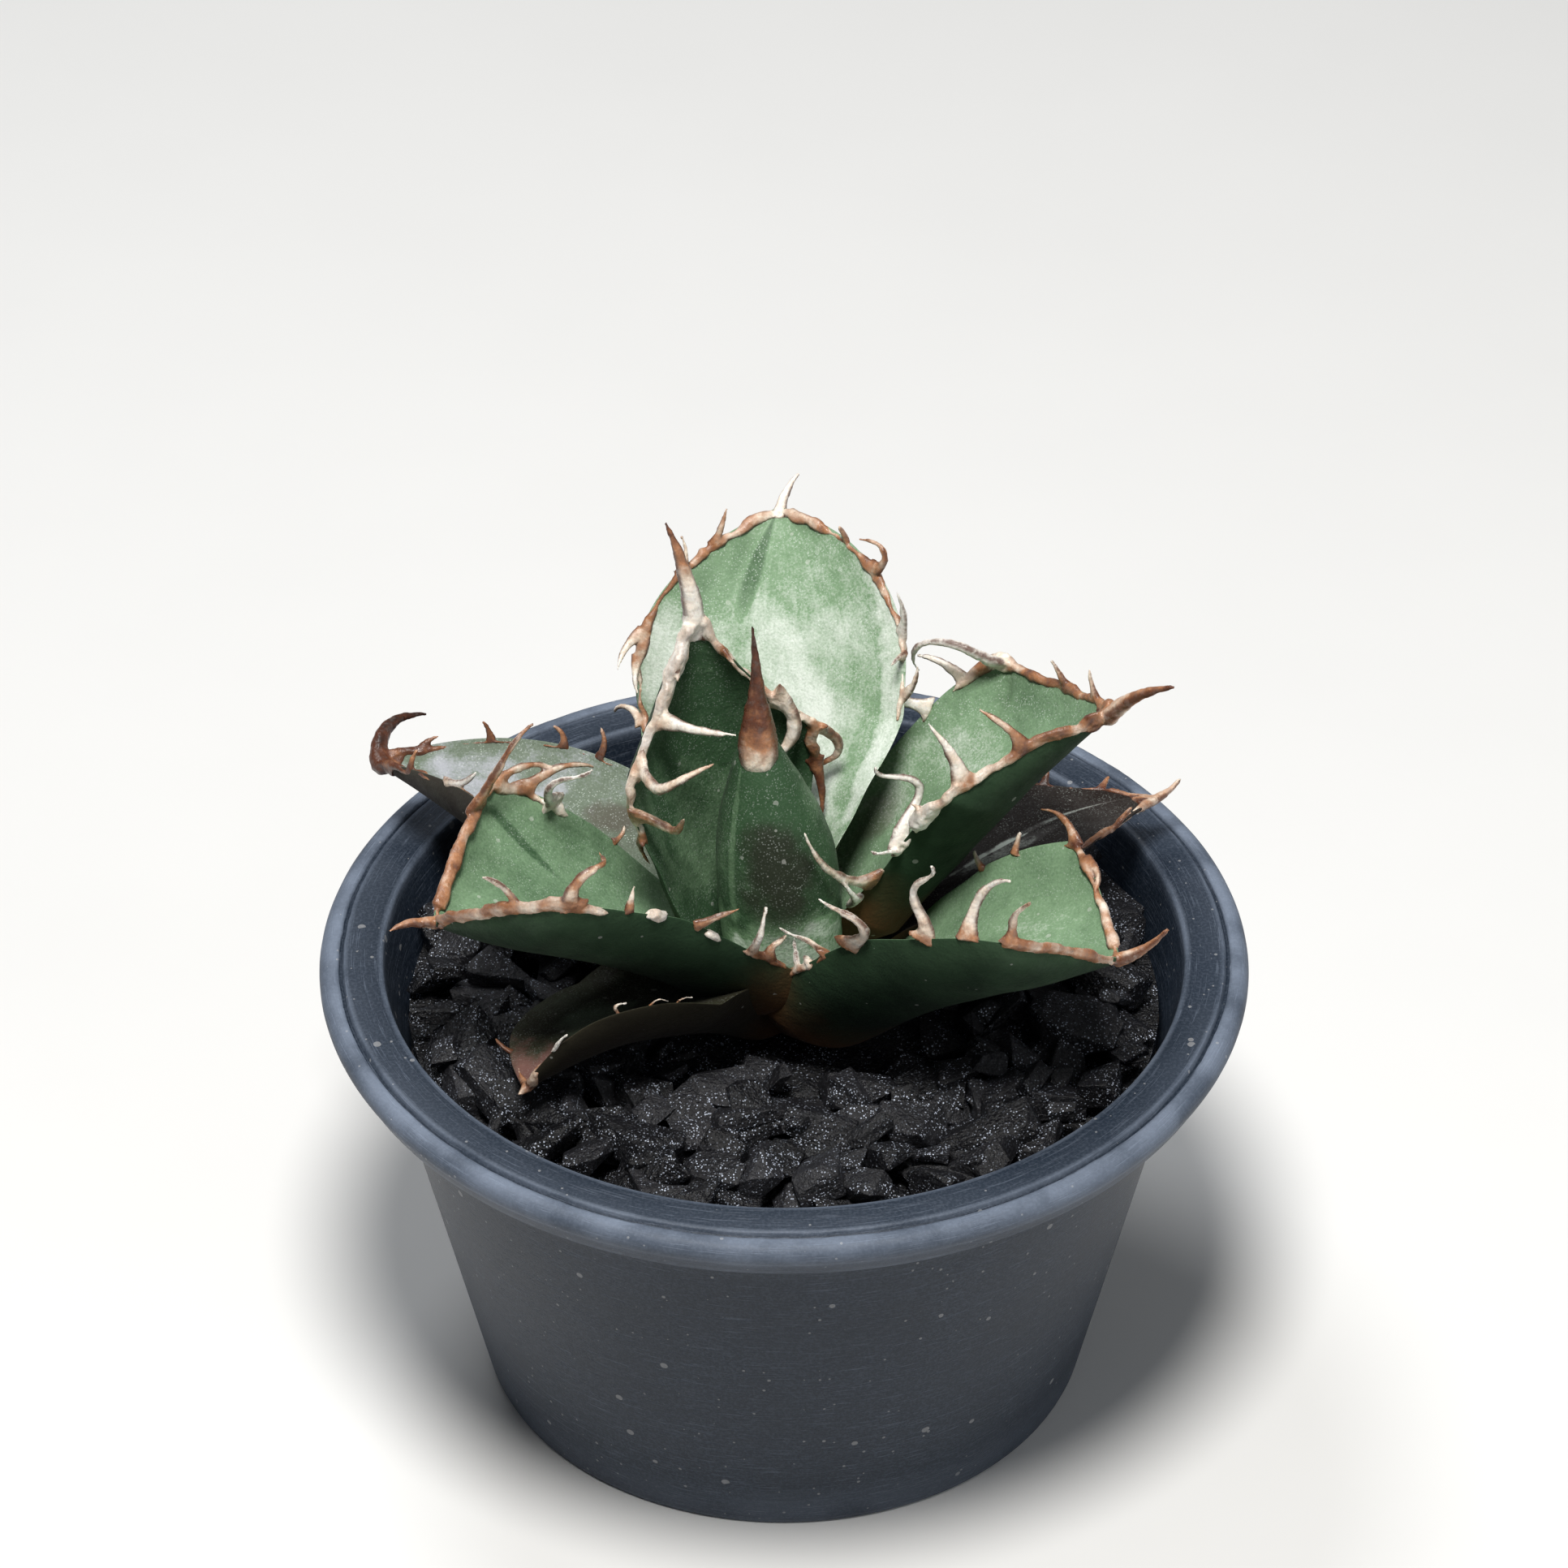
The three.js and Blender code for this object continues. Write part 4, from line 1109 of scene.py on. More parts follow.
    def build_horn(self) -> Tree:
        """The colour and relief of horn, from its tone and its dark border.

        Returns:
            The group.
        """
        results = {"Colour": SocketKind.COLOUR, "Height": SocketKind.VALUE}
        wires, entry, end = self.start("Horn_Colour", ("Tone", "Border"), results)
        place = entry.outputs["Place"]
        patches = wires.math("SUBTRACT", wires.noise(place, 2.6, 6), 0.5)
        tone = wires.math("MULTIPLY_ADD", patches, 1.25, entry.outputs["Tone"])
        tone = wires.math("MULTIPLY", tone, 0.8)
        stops = (
            (0.0, (0.92, 0.88, 0.81)),
            (0.26, (0.8, 0.67, 0.54)),
            (0.5, (0.42, 0.2, 0.1)),
            (0.76, (0.12, 0.042, 0.022)),
            (1.0, (0.03, 0.013, 0.009)),
        )
        colour = wires.ramp(tone, stops)
        colour = wires.mix(entry.outputs["Border"], colour, (0.085, 0.026, 0.012))
        grain = wires.noise(place, 0.55, 5)
        colour = wires.mix(wires.span(grain, 0.3, 0.56, 0.24, 0), colour, (0.12, 0.05, 0.028))
        chalk = wires.span(wires.noise(place, 1.3, 4), 0.5, 0.68, 0, 0.45)
        chalk = wires.math("MULTIPLY", chalk, wires.span(tone, 0.2, 0.65, 1, 0.1))
        colour = wires.mix(chalk, colour, (0.9, 0.86, 0.79))
        wires.feed(end.inputs["Colour"], colour)
        wires.feed(end.inputs["Height"], grain)
        return wires.tree


def new_material(name: str) -> tuple[Material, Wiring, Node]:
    """Starts a material with one shader.

    Args:
        name: the material's name.

    Returns:
        The material, its wiring and its shader.
    """
    material = bpy.data.materials.new(name)
    material.use_nodes = True
    wires = Wiring(material.node_tree)
    return material, wires, material.node_tree.nodes["Principled BSDF"]


class MarkKind(Enum):
    """What a mark on a blade shows. Some marks of each kind are painted light or shade: lighter
    patches, dark creases and a shadow.
    """

    BLOOM = "bloom"
    BARE_AND_SHADE = "bare"
    STAIN_AND_SHADE = "stain"


@dataclass(frozen=True)
class Mark:
    """A soft spot on a blade's upper face."""

    kind: MarkKind
    along: float
    across: float
    reach: Pair
    slant: float = 0.0
    strength: float = 1.0
    ragged: float = 2.0


@dataclass(frozen=True)
class BladeFinish:
    """The colours and the bloom of one leaf's green blade. Its underside and root colours are
    darkened as painted shade.
    """

    bloom: float = 0.5
    deep: Triple = (0.035, 0.078, 0.036)
    pale: Triple = (0.2, 0.315, 0.185)
    white: Triple = (0.66, 0.72, 0.645)
    # The underside's colour, near black as painted shade.
    under: Triple = (0.003, 0.013, 0.0045)
    # The brown of the leaf's base, partly its own colour, partly painted shade.
    root: Triple = (0.075, 0.031, 0.009)
    stain: Triple = (0.075, 0.055, 0.045)
    dots: Triple = (0.75, 0.82, 0.76)
    dust: Triple = (0.7, 0.7, 0.66)
    stipple: float = 0.2
    gloss: float = 0.5
    marks: tuple[Mark, ...] = ()

    def material(self, name: str, effects: Effects) -> Material:
        """Builds the blade's material.

        Args:
            name: the material's name.
            effects: the shared node groups.

        Returns:
            The material.
        """
        material, wires, shader = new_material(name)
        place = wires.place()
        along, across = wires.value("along"), wires.value("across")
        bloom = self.clouds(wires, effects, place)
        stain: Input = 0.0
        for mark in self.marks:
            spot = wires.mask(
                effects.mark,
                **{
                    "Along": along,
                    "Across": across,
                    "Middle Along": mark.along,
                    "Middle Across": mark.across,
                    "Reach Along": mark.reach[0],
                    "Reach Across": mark.reach[1],
                    "Slant": mark.slant,
                    "Ragged": mark.ragged,
                    "Place": place,
                },
            )
            if mark.kind is MarkKind.STAIN_AND_SHADE:
                stain = wires.math("MULTIPLY_ADD", spot, mark.strength, stain)
            else:
                sign = 1 if mark.kind is MarkKind.BLOOM else -1
                bloom = wires.math("MULTIPLY_ADD", spot, sign * mark.strength, bloom)
        stops = ((0.0, self.deep), (0.62, self.pale), (1.0, self.white))
        colour = wires.ramp(bloom, stops)
        colour = wires.mix(wires.math("MINIMUM", stain, 0.92), colour, self.stain)
        dots = wires.mask(effects.stipple, Place=place, Spacing=0.4, Dot=0.4)
        colour = wires.mix(wires.math("MULTIPLY", dots, self.stipple), colour, self.dots)
        # Underside: its dark colour is painted shade, and the deep green mixed in towards its edges
        # is painted light.
        shade = wires.noise(place, 7, 4)
        under = wires.mix(wires.span(shade, 0.35, 0.65, 0, 0.2), self.under, self.deep)
        side = wires.math("ABSOLUTE", across)
        under = wires.mix(wires.span(side, 0.5, 1, 0, 0.45), under, self.deep)
        reach = wires.span(along, 0.3, 1, 0, 0.14)
        veil = wires.math("MULTIPLY", wires.span(bloom, 0.2, 0.8, 0, 1), reach)
        under = wires.mix(veil, under, self.pale)
        # Towards the root the underside turns to the root's brown, partly its own colour, partly
        # painted shade.
        base = wires.span(wires.math("MULTIPLY_ADD", shade, 0.2, along), 0.08, 0.34, 0.9, 0)
        under = wires.mix(base, under, self.root)
        colour = wires.mix(wires.value("face"), under, colour)
        specks = wires.mask(effects.specks, Place=place, Size=1.3, Amount=0.03)
        colour = wires.mix(wires.math("MULTIPLY", specks, 0.25), colour, self.dust)
        wires.feed(shader.inputs["Base Color"], colour)
        rough = wires.span(wires.noise(place, 3.2), 0.3, 0.7, self.gloss - 0.07, self.gloss + 0.12)
        rough = wires.math("MULTIPLY_ADD", wires.value("face"), -0.2, wires.math("ADD", rough, 0.2))
        wires.feed(shader.inputs["Roughness"], rough)
        fine = wires.noise(place, 0.5, 4)
        broad = wires.noise(place, 2.4, 4)
        height = wires.math("MULTIPLY_ADD", broad, 2.2, fine)
        wires.feed(shader.inputs["Normal"], wires.bump(height, 0.16, 0.7))
        shader.inputs["Specular IOR Level"].default_value = 0.16
        shader.inputs["Sheen Weight"].default_value = 0.02
        shader.inputs["Sheen Roughness"].default_value = 0.5
        return material

    def clouds(self, wires: Wiring, effects: Effects, place: Socket) -> Socket:
        """The bloom's own clouds and the veil of streaks in it.

        Args:
            wires: the material's wiring.
            effects: the shared node groups.
            place: the place on the object.

        Returns:
            The bloom before its marks.
        """
        big = wires.mask(effects.mottle, Place=place, Size=13.0, Contrast=2.2)
        small = wires.mask(effects.mottle, Place=place, Size=2.4, Contrast=2.0)
        total = wires.math("MULTIPLY_ADD", big, 0.34, self.bloom - 0.17)
        total = wires.math("MULTIPLY_ADD", small, 0.13, wires.math("SUBTRACT", total, 0.065))
        grain = wires.mask(effects.mottle, Place=place, Size=0.42, Contrast=3.0)
        total = wires.math("MULTIPLY_ADD", grain, 0.14, wires.math("SUBTRACT", total, 0.07))
        fibre = wires.math("MULTIPLY", wires.value("across"), 0.03)
        lines = wires.add("ShaderNodeCombineXYZ", {0: fibre})
        wires.feed(lines.inputs[1], wires.math("MULTIPLY", wires.value("along"), 0.004))
        streaks = wires.noise(lines.outputs[0], 0.9, 3)
        return wires.math("MULTIPLY_ADD", streaks, 0.16, wires.math("SUBTRACT", total, 0.08))


@dataclass(frozen=True)
class HornFinish:
    """Smooth horn, from ivory to dark brown."""

    roughness: Pair = (0.24, 0.46)
    glow: float = 0.08

    def material(self, effects: Effects) -> Material:
        """Builds the horn's material.

        Args:
            effects: the shared node groups.

        Returns:
            The material.
        """
        material, wires, shader = new_material("Horn")
        place = wires.place()
        tone, border = wires.value("tone"), wires.value("border")
        horn = wires.group(effects.horn, Place=place, Tone=tone, Border=border)
        wires.feed(shader.inputs["Base Color"], horn.outputs["Colour"])
        rough = wires.span(wires.noise(place, 1.2), 0.35, 0.65, *self.roughness)
        wires.feed(shader.inputs["Roughness"], rough)
        wires.feed(shader.inputs["Normal"], wires.bump(horn.outputs["Height"], 0.18, 0.7))
        shader.inputs["Subsurface Weight"].default_value = self.glow
        shader.inputs["Subsurface Radius"].default_value = (1.0, 0.55, 0.35)
        shader.inputs["Subsurface Scale"].default_value = 0.0012
        return material


@dataclass(frozen=True)
class PotFinish:
    """Satin moulded plastic with fine rings of scratches, scuffs and dust, and a painted highlight
    along the top of the rim's bead.
    """

    colour: Triple = (0.012, 0.02, 0.034)
    scuffed_and_highlight: Triple = (0.25, 0.3, 0.39)
    dust: Triple = (0.5, 0.5, 0.5)
    inside: Triple = (0.014, 0.019, 0.027)

    def material(self, effects: Effects) -> Material:
        """Builds the pot's material.

        Args:
            effects: the shared node groups.

        Returns:
            The material.
        """
        material, wires, shader = new_material("Pot_Plastic")
        place = wires.place()
        parts = wires.add("ShaderNodeSeparateXYZ", {0: place}).outputs
        flat = wires.add("ShaderNodeCombineXYZ", {0: parts[0], 1: parts[1]}).outputs[0]
        radius = wires.add("ShaderNodeVectorMath", {0: flat}, operation="LENGTH").outputs["Value"]
        angle = wires.math("ARCTAN2", parts[1], parts[0])
        sweep = wires.math("MULTIPLY", angle, 0.0022)
        rings = wires.add("ShaderNodeCombineXYZ", {0: radius, 1: sweep, 2: parts[2]}).outputs[0]
        lines = wires.noise(rings, 0.24, 2)
        scratches = wires.span(lines, 0.56, 0.68, 0, 1)
        cloud = wires.mask(effects.mottle, Place=place, Size=16.0, Contrast=1.8)
        # The wear attribute also carries a painted highlight along the top of the bead.
        scuff_and_highlight = wires.math("MULTIPLY", wires.value("wear_and_highlight"), wires.span(cloud, 0.2, 0.8, 0.3, 1))
        share = wires.math("MULTIPLY_ADD", scratches, 0.16, wires.math("MULTIPLY", scuff_and_highlight, 0.85))
        worn = wires.span(wires.noise(place, 0.5, 5), 0.42, 0.66, 0, 0.09)
        share = wires.math("ADD", share, worn)
        colour = wires.mix(wires.math("MINIMUM", share, 1), self.colour, self.scuffed_and_highlight)
        colour = wires.mix(wires.span(cloud, 0, 1, 0, 0.3), colour, self.inside)
        specks = wires.mask(effects.specks, Place=place, Size=1.9, Amount=0.03)
        grit = wires.mask(effects.specks, Place=place, Size=0.8, Amount=0.035)
        dust = wires.math("MAXIMUM", specks, grit)
        colour = wires.mix(wires.math("MULTIPLY", dust, 0.32), colour, self.dust)
        wires.feed(shader.inputs["Base Color"], colour)
        rough = wires.math("MULTIPLY_ADD", share, 0.22, 0.46)
        wires.feed(shader.inputs["Roughness"], rough)
        shader.inputs["Specular IOR Level"].default_value = 0.25
        fine = wires.noise(place, 0.35, 3)
        height = wires.math("MULTIPLY_ADD", scratches, -0.6, wires.math("MULTIPLY", fine, 0.8))
        wires.feed(shader.inputs["Normal"], wires.bump(height, 0.08, 0.8))
        return material


@dataclass(frozen=True)
class StoneFinish:
    """Dark slaty stone with pale flakes, partly its own flecks, partly painted glints. Each stone
    has its own tone.
    """

    dark: Triple = (0.004, 0.004, 0.005)
    mid: Triple = (0.008, 0.008, 0.01)
    warm: Triple = (0.026, 0.026, 0.03)
    flake_and_glint: Triple = (0.56, 0.62, 0.74)

    def material(self, effects: Effects) -> Material:
        """Builds the stones' material.

        Args:
            effects: the shared node groups.

        Returns:
            The material.
        """
        material, wires, shader = new_material("Slate_Gravel")
        place = wires.place()
        stops = ((0.0, self.dark), (0.55, self.mid), (0.85, self.warm), (1.0, self.mid))
        colour = wires.ramp(wires.value("tone"), stops)
        mottle = wires.mask(effects.mottle, Place=place, Size=3.0, Contrast=2.4)
        colour = wires.mix(wires.math("MULTIPLY", mottle, 0.6), colour, self.dark)
        grain = wires.noise(place, 0.5, 5)
        colour = wires.mix(wires.span(grain, 0.5, 0.75, 0, 0.3), colour, self.warm)
        # Pale flakes: partly the stone's own flecks, partly painted glints.
        flakes_and_glints = wires.mask(effects.specks, Place=place, Size=0.4, Amount=0.95)
        rich = wires.span(wires.noise(place, 4, 7), 0.42, 0.6, 0.05, 0.95)
        shine = wires.math("MULTIPLY", flakes_and_glints, rich)
        colour = wires.mix(shine, colour, self.flake_and_glint)
        wires.feed(shader.inputs["Base Color"], colour)
        gloss = wires.span(mottle, 0.2, 0.8, 0.3, 0.5)
        wires.feed(shader.inputs["Roughness"], wires.math("MULTIPLY_ADD", shine, -0.2, gloss))
        rough = wires.noise(place, 0.9, 7)
        height = wires.math("MULTIPLY_ADD", rough, 1.6, grain)
        wires.feed(shader.inputs["Normal"], wires.bump(height, 0.32, 1.0))
        shader.inputs["Specular IOR Level"].default_value = 0.4
        return material


@dataclass(frozen=True)
class EarthFinish:
    """A matt brown stuff in two tones, for the stem and for the potting mix."""

    dark: Triple
    light: Triple
    size: float

    def material(self, name: str, effects: Effects) -> Material:
        """Builds the material.

        Args:
            name: its name.
            effects: the shared node groups.

        Returns:
            The material.
        """
        material, wires, shader = new_material(name)
        place = wires.place()
        cloud = wires.mask(effects.mottle, Place=place, Size=self.size, Contrast=2.6)
        grain = wires.noise(place, self.size * 0.2, 5)
        colour = wires.mix(cloud, self.dark, self.light)
        colour = wires.mix(wires.span(grain, 0.4, 0.7, 0, 0.5), colour, self.dark)
        wires.feed(shader.inputs["Base Color"], colour)
        wires.feed(shader.inputs["Roughness"], wires.span(grain, 0.3, 0.7, 0.6, 0.9))
        wires.feed(shader.inputs["Normal"], wires.bump(grain, 0.4, 0.8))
        return material


# Pieces


@dataclass
class Leaf:
    """One open leaf: a green blade, and its horny edge with teeth and a spine."""

    shape: LeafShape
    finish: BladeFinish
    rows: int = 96
    around: int = 72
    sides: int = 10
    voxel: float = 0.27

    def build(self, horn: Material, effects: Effects) -> LeafForm:
        """Builds and dresses both pieces.

        Args:
            horn: the horn's material.
            effects: the shared node groups.

        Returns:
            The leaf's surfaces.
        """
        form = LeafForm(self.shape)
        self.add_blade(form, effects)
        self.add_horn(form, horn)
        return form

    def add_blade(self, form: LeafForm, effects: Effects) -> None:
        """Adds the green blade.

        Args:
            form: the leaf's surfaces.
            effects: the shared node groups.
        """
        start = -LeafForm.ROOT / self.shape.length
        skin = form.blade(start, form.end + 0.025, self.rows, self.around)
        name = f"{self.shape.name}_blade"
        material = self.finish.material(f"Blade_{self.shape.name}", effects)
        add_piece(mesh_from(name, skin), material, f"{self.shape.name}_leaf")

    def add_horn(self, form: LeafForm, horn: Material) -> None:
        """Adds the horny edge as one fused skin.

        Args:
            form: the leaf's surfaces.
            horn: the horn's material.
        """
        teeth = [form.tooth_rod(tooth) for tooth in (*self.shape.teeth, *form.small_teeth())]
        bands = [form.band_rod(side) for side in Side]
        rods = [*teeth, *bands, form.spine_rod()]
        cap = form.blade(form.end, 0.997, 14, 24, form.CAP_LIFT)
        shells = [rod.skin(self.sides) for rod in rods] + [Skin(cap.points, cap.faces)]
        skin = without_crumbs(fused(joined(shells), self.voxel, 2), LEAST_SHELL)
        skin = lumpy(skin, self.shape.seed)
        skin.values = horn_values(skin.points, rods)
        name = f"{self.shape.name}_horn"
        add_piece(mesh_from(name, skin), horn, f"{self.shape.name}_leaf_horn")


@dataclass
class Bud:
    """The young leaf that is still rolled up, with its spine. Heights are from the rim."""

    rings: tuple[tuple[float, float, float, float], ...] = (
        (-0.5, -5, 1, 8.6),
        (-0.6, -4.8, 8, 9.6),
        (-1, -4.4, 16, 9.8),
        (-1.6, -3.8, 23, 9.4),
        (-2.3, -3, 29, 8.2),
        (-3.1, -2.3, 34, 6.3),
        (-3.8, -1.7, 38.5, 4.5),
        (-4.2, -1.3, 42, 3),
        (-4.3, -1, 45, 1.6),
    )
    spine: tuple[tuple[float, float, float, float], ...] = (
        (-3.9, -4.3, 37.6, 0.9),
        (-4, -3.5, 40, 2.9),
        (-4.1, -2.4, 44, 3.05),
        (-4.2, -1.6, 48.5, 2.05),
        (-4.3, -0.8, 54, 1.05),
        (-4.6, 0.2, 59, 0.55),
        (-5, 1.2, 63, 0.15),
    )
    turn: float = 70.0
    wrap: float = 0.985
    rows: int = 100
    around: int = 120
    spine_rows: int = 60
    spine_sides: int = 20
    voxel: float = 0.25
    finish: BladeFinish = BladeFinish()

    @staticmethod
    def traced(rows: tuple[tuple[float, float, float, float], ...], count: int) -> Array:
        """A smooth run of places and radii through a few.

        Args:
            rows: place and radius of each.
            count: how many the run has.

        Returns:
            The run, one place and radius a row.
        """
        table = np.array(rows)
        table = np.vstack([2 * table[0] - table[1], table, 2 * table[-1] - table[-2]])
        share = np.linspace(0, len(rows) - 1, count)
        k = np.minimum(share.astype(int), len(rows) - 2)
        x = (share - k)[:, None]
        a, b, c, d = (table[k + j] for j in range(4))
        bend = (2 * a - 5 * b + 4 * c - d) * x**2 + (3 * b - a - 3 * c + d) * x**3
        return b + ((c - a) * x + bend) / 2

    def build(self, horn: Material, effects: Effects) -> None:
        """Builds and dresses the rolled leaf and its spine.

        Args:
            horn: the horn's material.
            effects: the shared node groups.
        """
        run = self.traced(self.rings, self.rows)
        share = np.arange(self.around) / self.around
        angle = math.radians(self.turn) + 2 * math.pi * share * self.wrap
        level = np.stack([np.cos(angle), np.sin(angle), 0 * angle], axis=1)
        reach = run[:, None, 3] * (1 + 0.12 * (share - 0.5))[None]
        centre = run[:, None, :3] + (0, 0, RIM_TOP)
        rings = centre + reach[..., None] * level[None]
        lumps = layered_noise(rings.reshape(-1, 3), 9, 3, 5).reshape(reach.shape)
        rings = rings + level[None] * (0.22 * lumps)[..., None]
        along = np.repeat(np.linspace(0, 1, self.rows)[:, None], self.around, axis=1)
        turned = np.degrees(np.arctan2(level[:, 1], level[:, 0]))
        across = np.repeat((turned / 90)[None], self.rows, axis=0)
        values = {"along": along, "across": across, "face": np.ones_like(along)}
        skin = skin_of_rings(rings, values)
        material = self.finish.material("Blade_bud", effects)
        add_piece(mesh_from("bud_blade", skin), material, "bud_leaf")
        self.add_spine(horn)

    def add_spine(self, horn: Material) -> None:
        """Adds the spine, pale on its foot and dark above.

        Args:
            horn: the horn's material.
        """
        run = self.traced(self.spine, self.spine_rows)
        line = run[:, :3] + (0, 0, RIM_TOP)
        radius = np.maximum(run[:, 3], LeafForm.SPINE_TIP)
        share = np.linspace(0, 1, self.spine_rows)
        tone = np.interp(share, [0, 0.15, 0.32, 0.55, 0.8, 1], [0, 0.15, 0.75, 1, 1.1, 1.25])
        front = np.tile([0, -1, 0.0], (self.spine_rows, 1))
        rod = Rod(line, radius, radius * 0.9, front, tone)
        skin = lumpy(fused(rod.skin(self.spine_sides), self.voxel, 2), 9)
        skin.values = horn_values(skin.points, [rod])
        add_piece(mesh_from("bud_horn", skin), horn, "bud_spine")


@dataclass
class Crown:
    """The short stem that the leaves grow from, with its lower end in the soil.

    Its outline is in pairs of radius and height from the rim.
    """

    profile: tuple[Pair, ...] = ((4, -40), (6, -38.5), (6, -14), (8.5, -11), (11, -7), (11, -1))
    top: tuple[Pair, ...] = ((9.6, 1.6), (6.5, 2.6), (2.5, 3))
    rows: int = 60
    around: int = 96
    finish: EarthFinish = EarthFinish((0.05, 0.022, 0.01), (0.27, 0.14, 0.055), 2.4)

    def build(self, effects: Effects) -> None:
        """Builds and dresses the stem.

        Args:
            effects: the shared node groups.
        """
        rows = np.array((*self.profile, *self.top), float)
        share = np.linspace(0, len(rows) - 1, self.rows)
        parts = [np.interp(share, np.arange(len(rows)), rows[:, k]) for k in range(2)]
        profile = np.stack([parts[0], parts[1] + RIM_TOP], axis=1)
        rings = turned_rings(profile, self.around)
        flat = rings.reshape(-1, 3)
        lumps = layered_noise(flat * (1, 1, 2.2), 4.5, 3, 31)
        swell = np.where(flat[:, 2] > RIM_TOP - 13, 0.32, 0.12) * (lumps - 0.8)
        shift = unit(flat * (1, 1, 0)) * swell[:, None]
        mesh = mesh_from("crown_stem", skin_of_rings((flat + shift).reshape(rings.shape)))
        add_piece(mesh, self.finish.material("Stem", effects), "crown")


@dataclass
class Pot:
    """The moulded pot: tapered wall, drain holes, flat rim, groove and rounded outer bead."""

    foot: float = 50.0
    radius: float = 75.0
    bead: float = 1.85
    floor: float = 3.0
    holes: int = 6
    hole_radius: float = 4.0
    hole_ring: float = 32.0
    around: int = 400
    finish: PotFinish = PotFinish()

    def profile(self) -> Array:
        """The outline from the foot's middle, over the rim and down to the floor's middle.

        Returns:
            Radius, height, and wear with a painted highlight along the bead, one a row.
        """
        top, foot, floor = RIM_TOP, self.foot, self.floor
        rows = [(1, 0, 0), (20, 0, 0), (44, 0, 0), (foot - 1.4, 0, 0.3)]
        rows += [(foot - 0.4, 0.4, 0.5), (foot, 1.4, 0.3)]
        rows += [(lerp(foot, 66.2, k / 8), lerp(1.4, top - 7.4, k / 8), 0) for k in range(1, 9)]
        rows += [(66.6, top - 7, 0), (67.6, top - 6.8, 0), (71.6, top - 6.8, 0.1)]
        rows += [(73, top - 6.6, 0.3), (73.4, top - 5.6, 0.2), (74, top - 4.6, 0.3)]
        # Over the bead the wear rises to 1 at its top: partly real wear, partly a painted
        # highlight.
        for k in range(13):
            angle = math.radians(lerp(-58, 92, k / 12))
            radius = self.radius - self.bead * (1 - math.cos(angle))
            rows.append((radius, top - 2.35 + 2.05 * math.sin(angle), lerp(0.5, 1, k / 12)))
        rows += [(72.5, top - 0.3, 1), (72.05, top - 0.38, 0.9), (71.9, top - 0.9, 0)]
        rows += [(71.4, top - 0.95, 0), (71.22, top - 0.3, 0.5), (70.9, top - 0.02, 0.6)]
        rows += [(lerp(70.2, 65.8, k / 5), top, 0.12 - 0.02 * k) for k in range(6)]
        rows += [(65.1, top - 0.05, 0.5), (64.72, top - 0.3, 0.6), (64.55, top - 0.9, 0.3)]
        rows += [(lerp(64.2, 48.4, k / 8), lerp(top - 2, floor + 0.4, k / 8), 0) for k in range(9)]
        rows += [(radius, floor, 0) for radius in (47.6, 44, 20, 1)]
        return np.array(rows, float)

    def build(self, effects: Effects) -> None:
        """Builds and dresses the pot.

        Args:
            effects: the shared node groups.
        """
        rows = self.profile()
        rings = turned_rings(rows[:, :2], self.around)
        flat = rings.reshape(-1, 3)
        wear_and_highlight = np.repeat(rows[:, 2:], self.around, axis=1)
        level = unit(flat * (1, 1, 0))
        bead = np.repeat((rows[:, 0] > 71.0) & (rows[:, 1] > RIM_TOP - 1.2), self.around)
        rim = flat[:, 2] > RIM_TOP - 8
        rough = layered_noise(flat, 1.6, 3, 77)
        dents = layered_noise(flat, 9, 2, 78)
        worn = (0.1 * rough + 0.1 * dents - 0.06) * bead + 0.07 * dents * rim
        flat = flat + level * np.minimum(worn, 0)[:, None]
        skin = skin_of_rings(flat.reshape(rings.shape), {"wear_and_highlight": wear_and_highlight})
        piece = add_piece(mesh_from("pot_shell", skin), self.finish.material(effects), "pot")
        self.drill(piece)

    def drill(self, piece: bpy.types.Object) -> None:
        """Cuts the drain holes.

        Args:
            piece: the pot.
        """
        shells = []
        for k in range(self.holes):
            angle = 2 * math.pi * k / self.holes
            middle = (self.hole_ring * math.cos(angle), self.hole_ring * math.sin(angle), 0)
            profile = np.array([(0.5, -2), (self.hole_radius, -2), (self.hole_radius, 5), (0.5, 5)])
            shells.append(skin_of_rings(turned_rings(profile, 32) + middle))
        cutter = bpy.data.objects.new("cutter", mesh_from("cutter", joined(shells)))
        bpy.context.scene.collection.objects.link(cutter)
        cut = piece.modifiers.new("holes", "BOOLEAN")
        cut.operation = "DIFFERENCE"
        cut.object = cutter
        cut.solver = "EXACT"
        depsgraph = bpy.context.evaluated_depsgraph_get()
        mesh = bpy.data.meshes.new_from_object(piece.evaluated_get(depsgraph))
        piece.modifiers.clear()
        old = piece.data
        piece.data = mesh
        bpy.data.meshes.remove(old)
        mesh.name = "pot_shell"
        bpy.data.objects.remove(cutter)


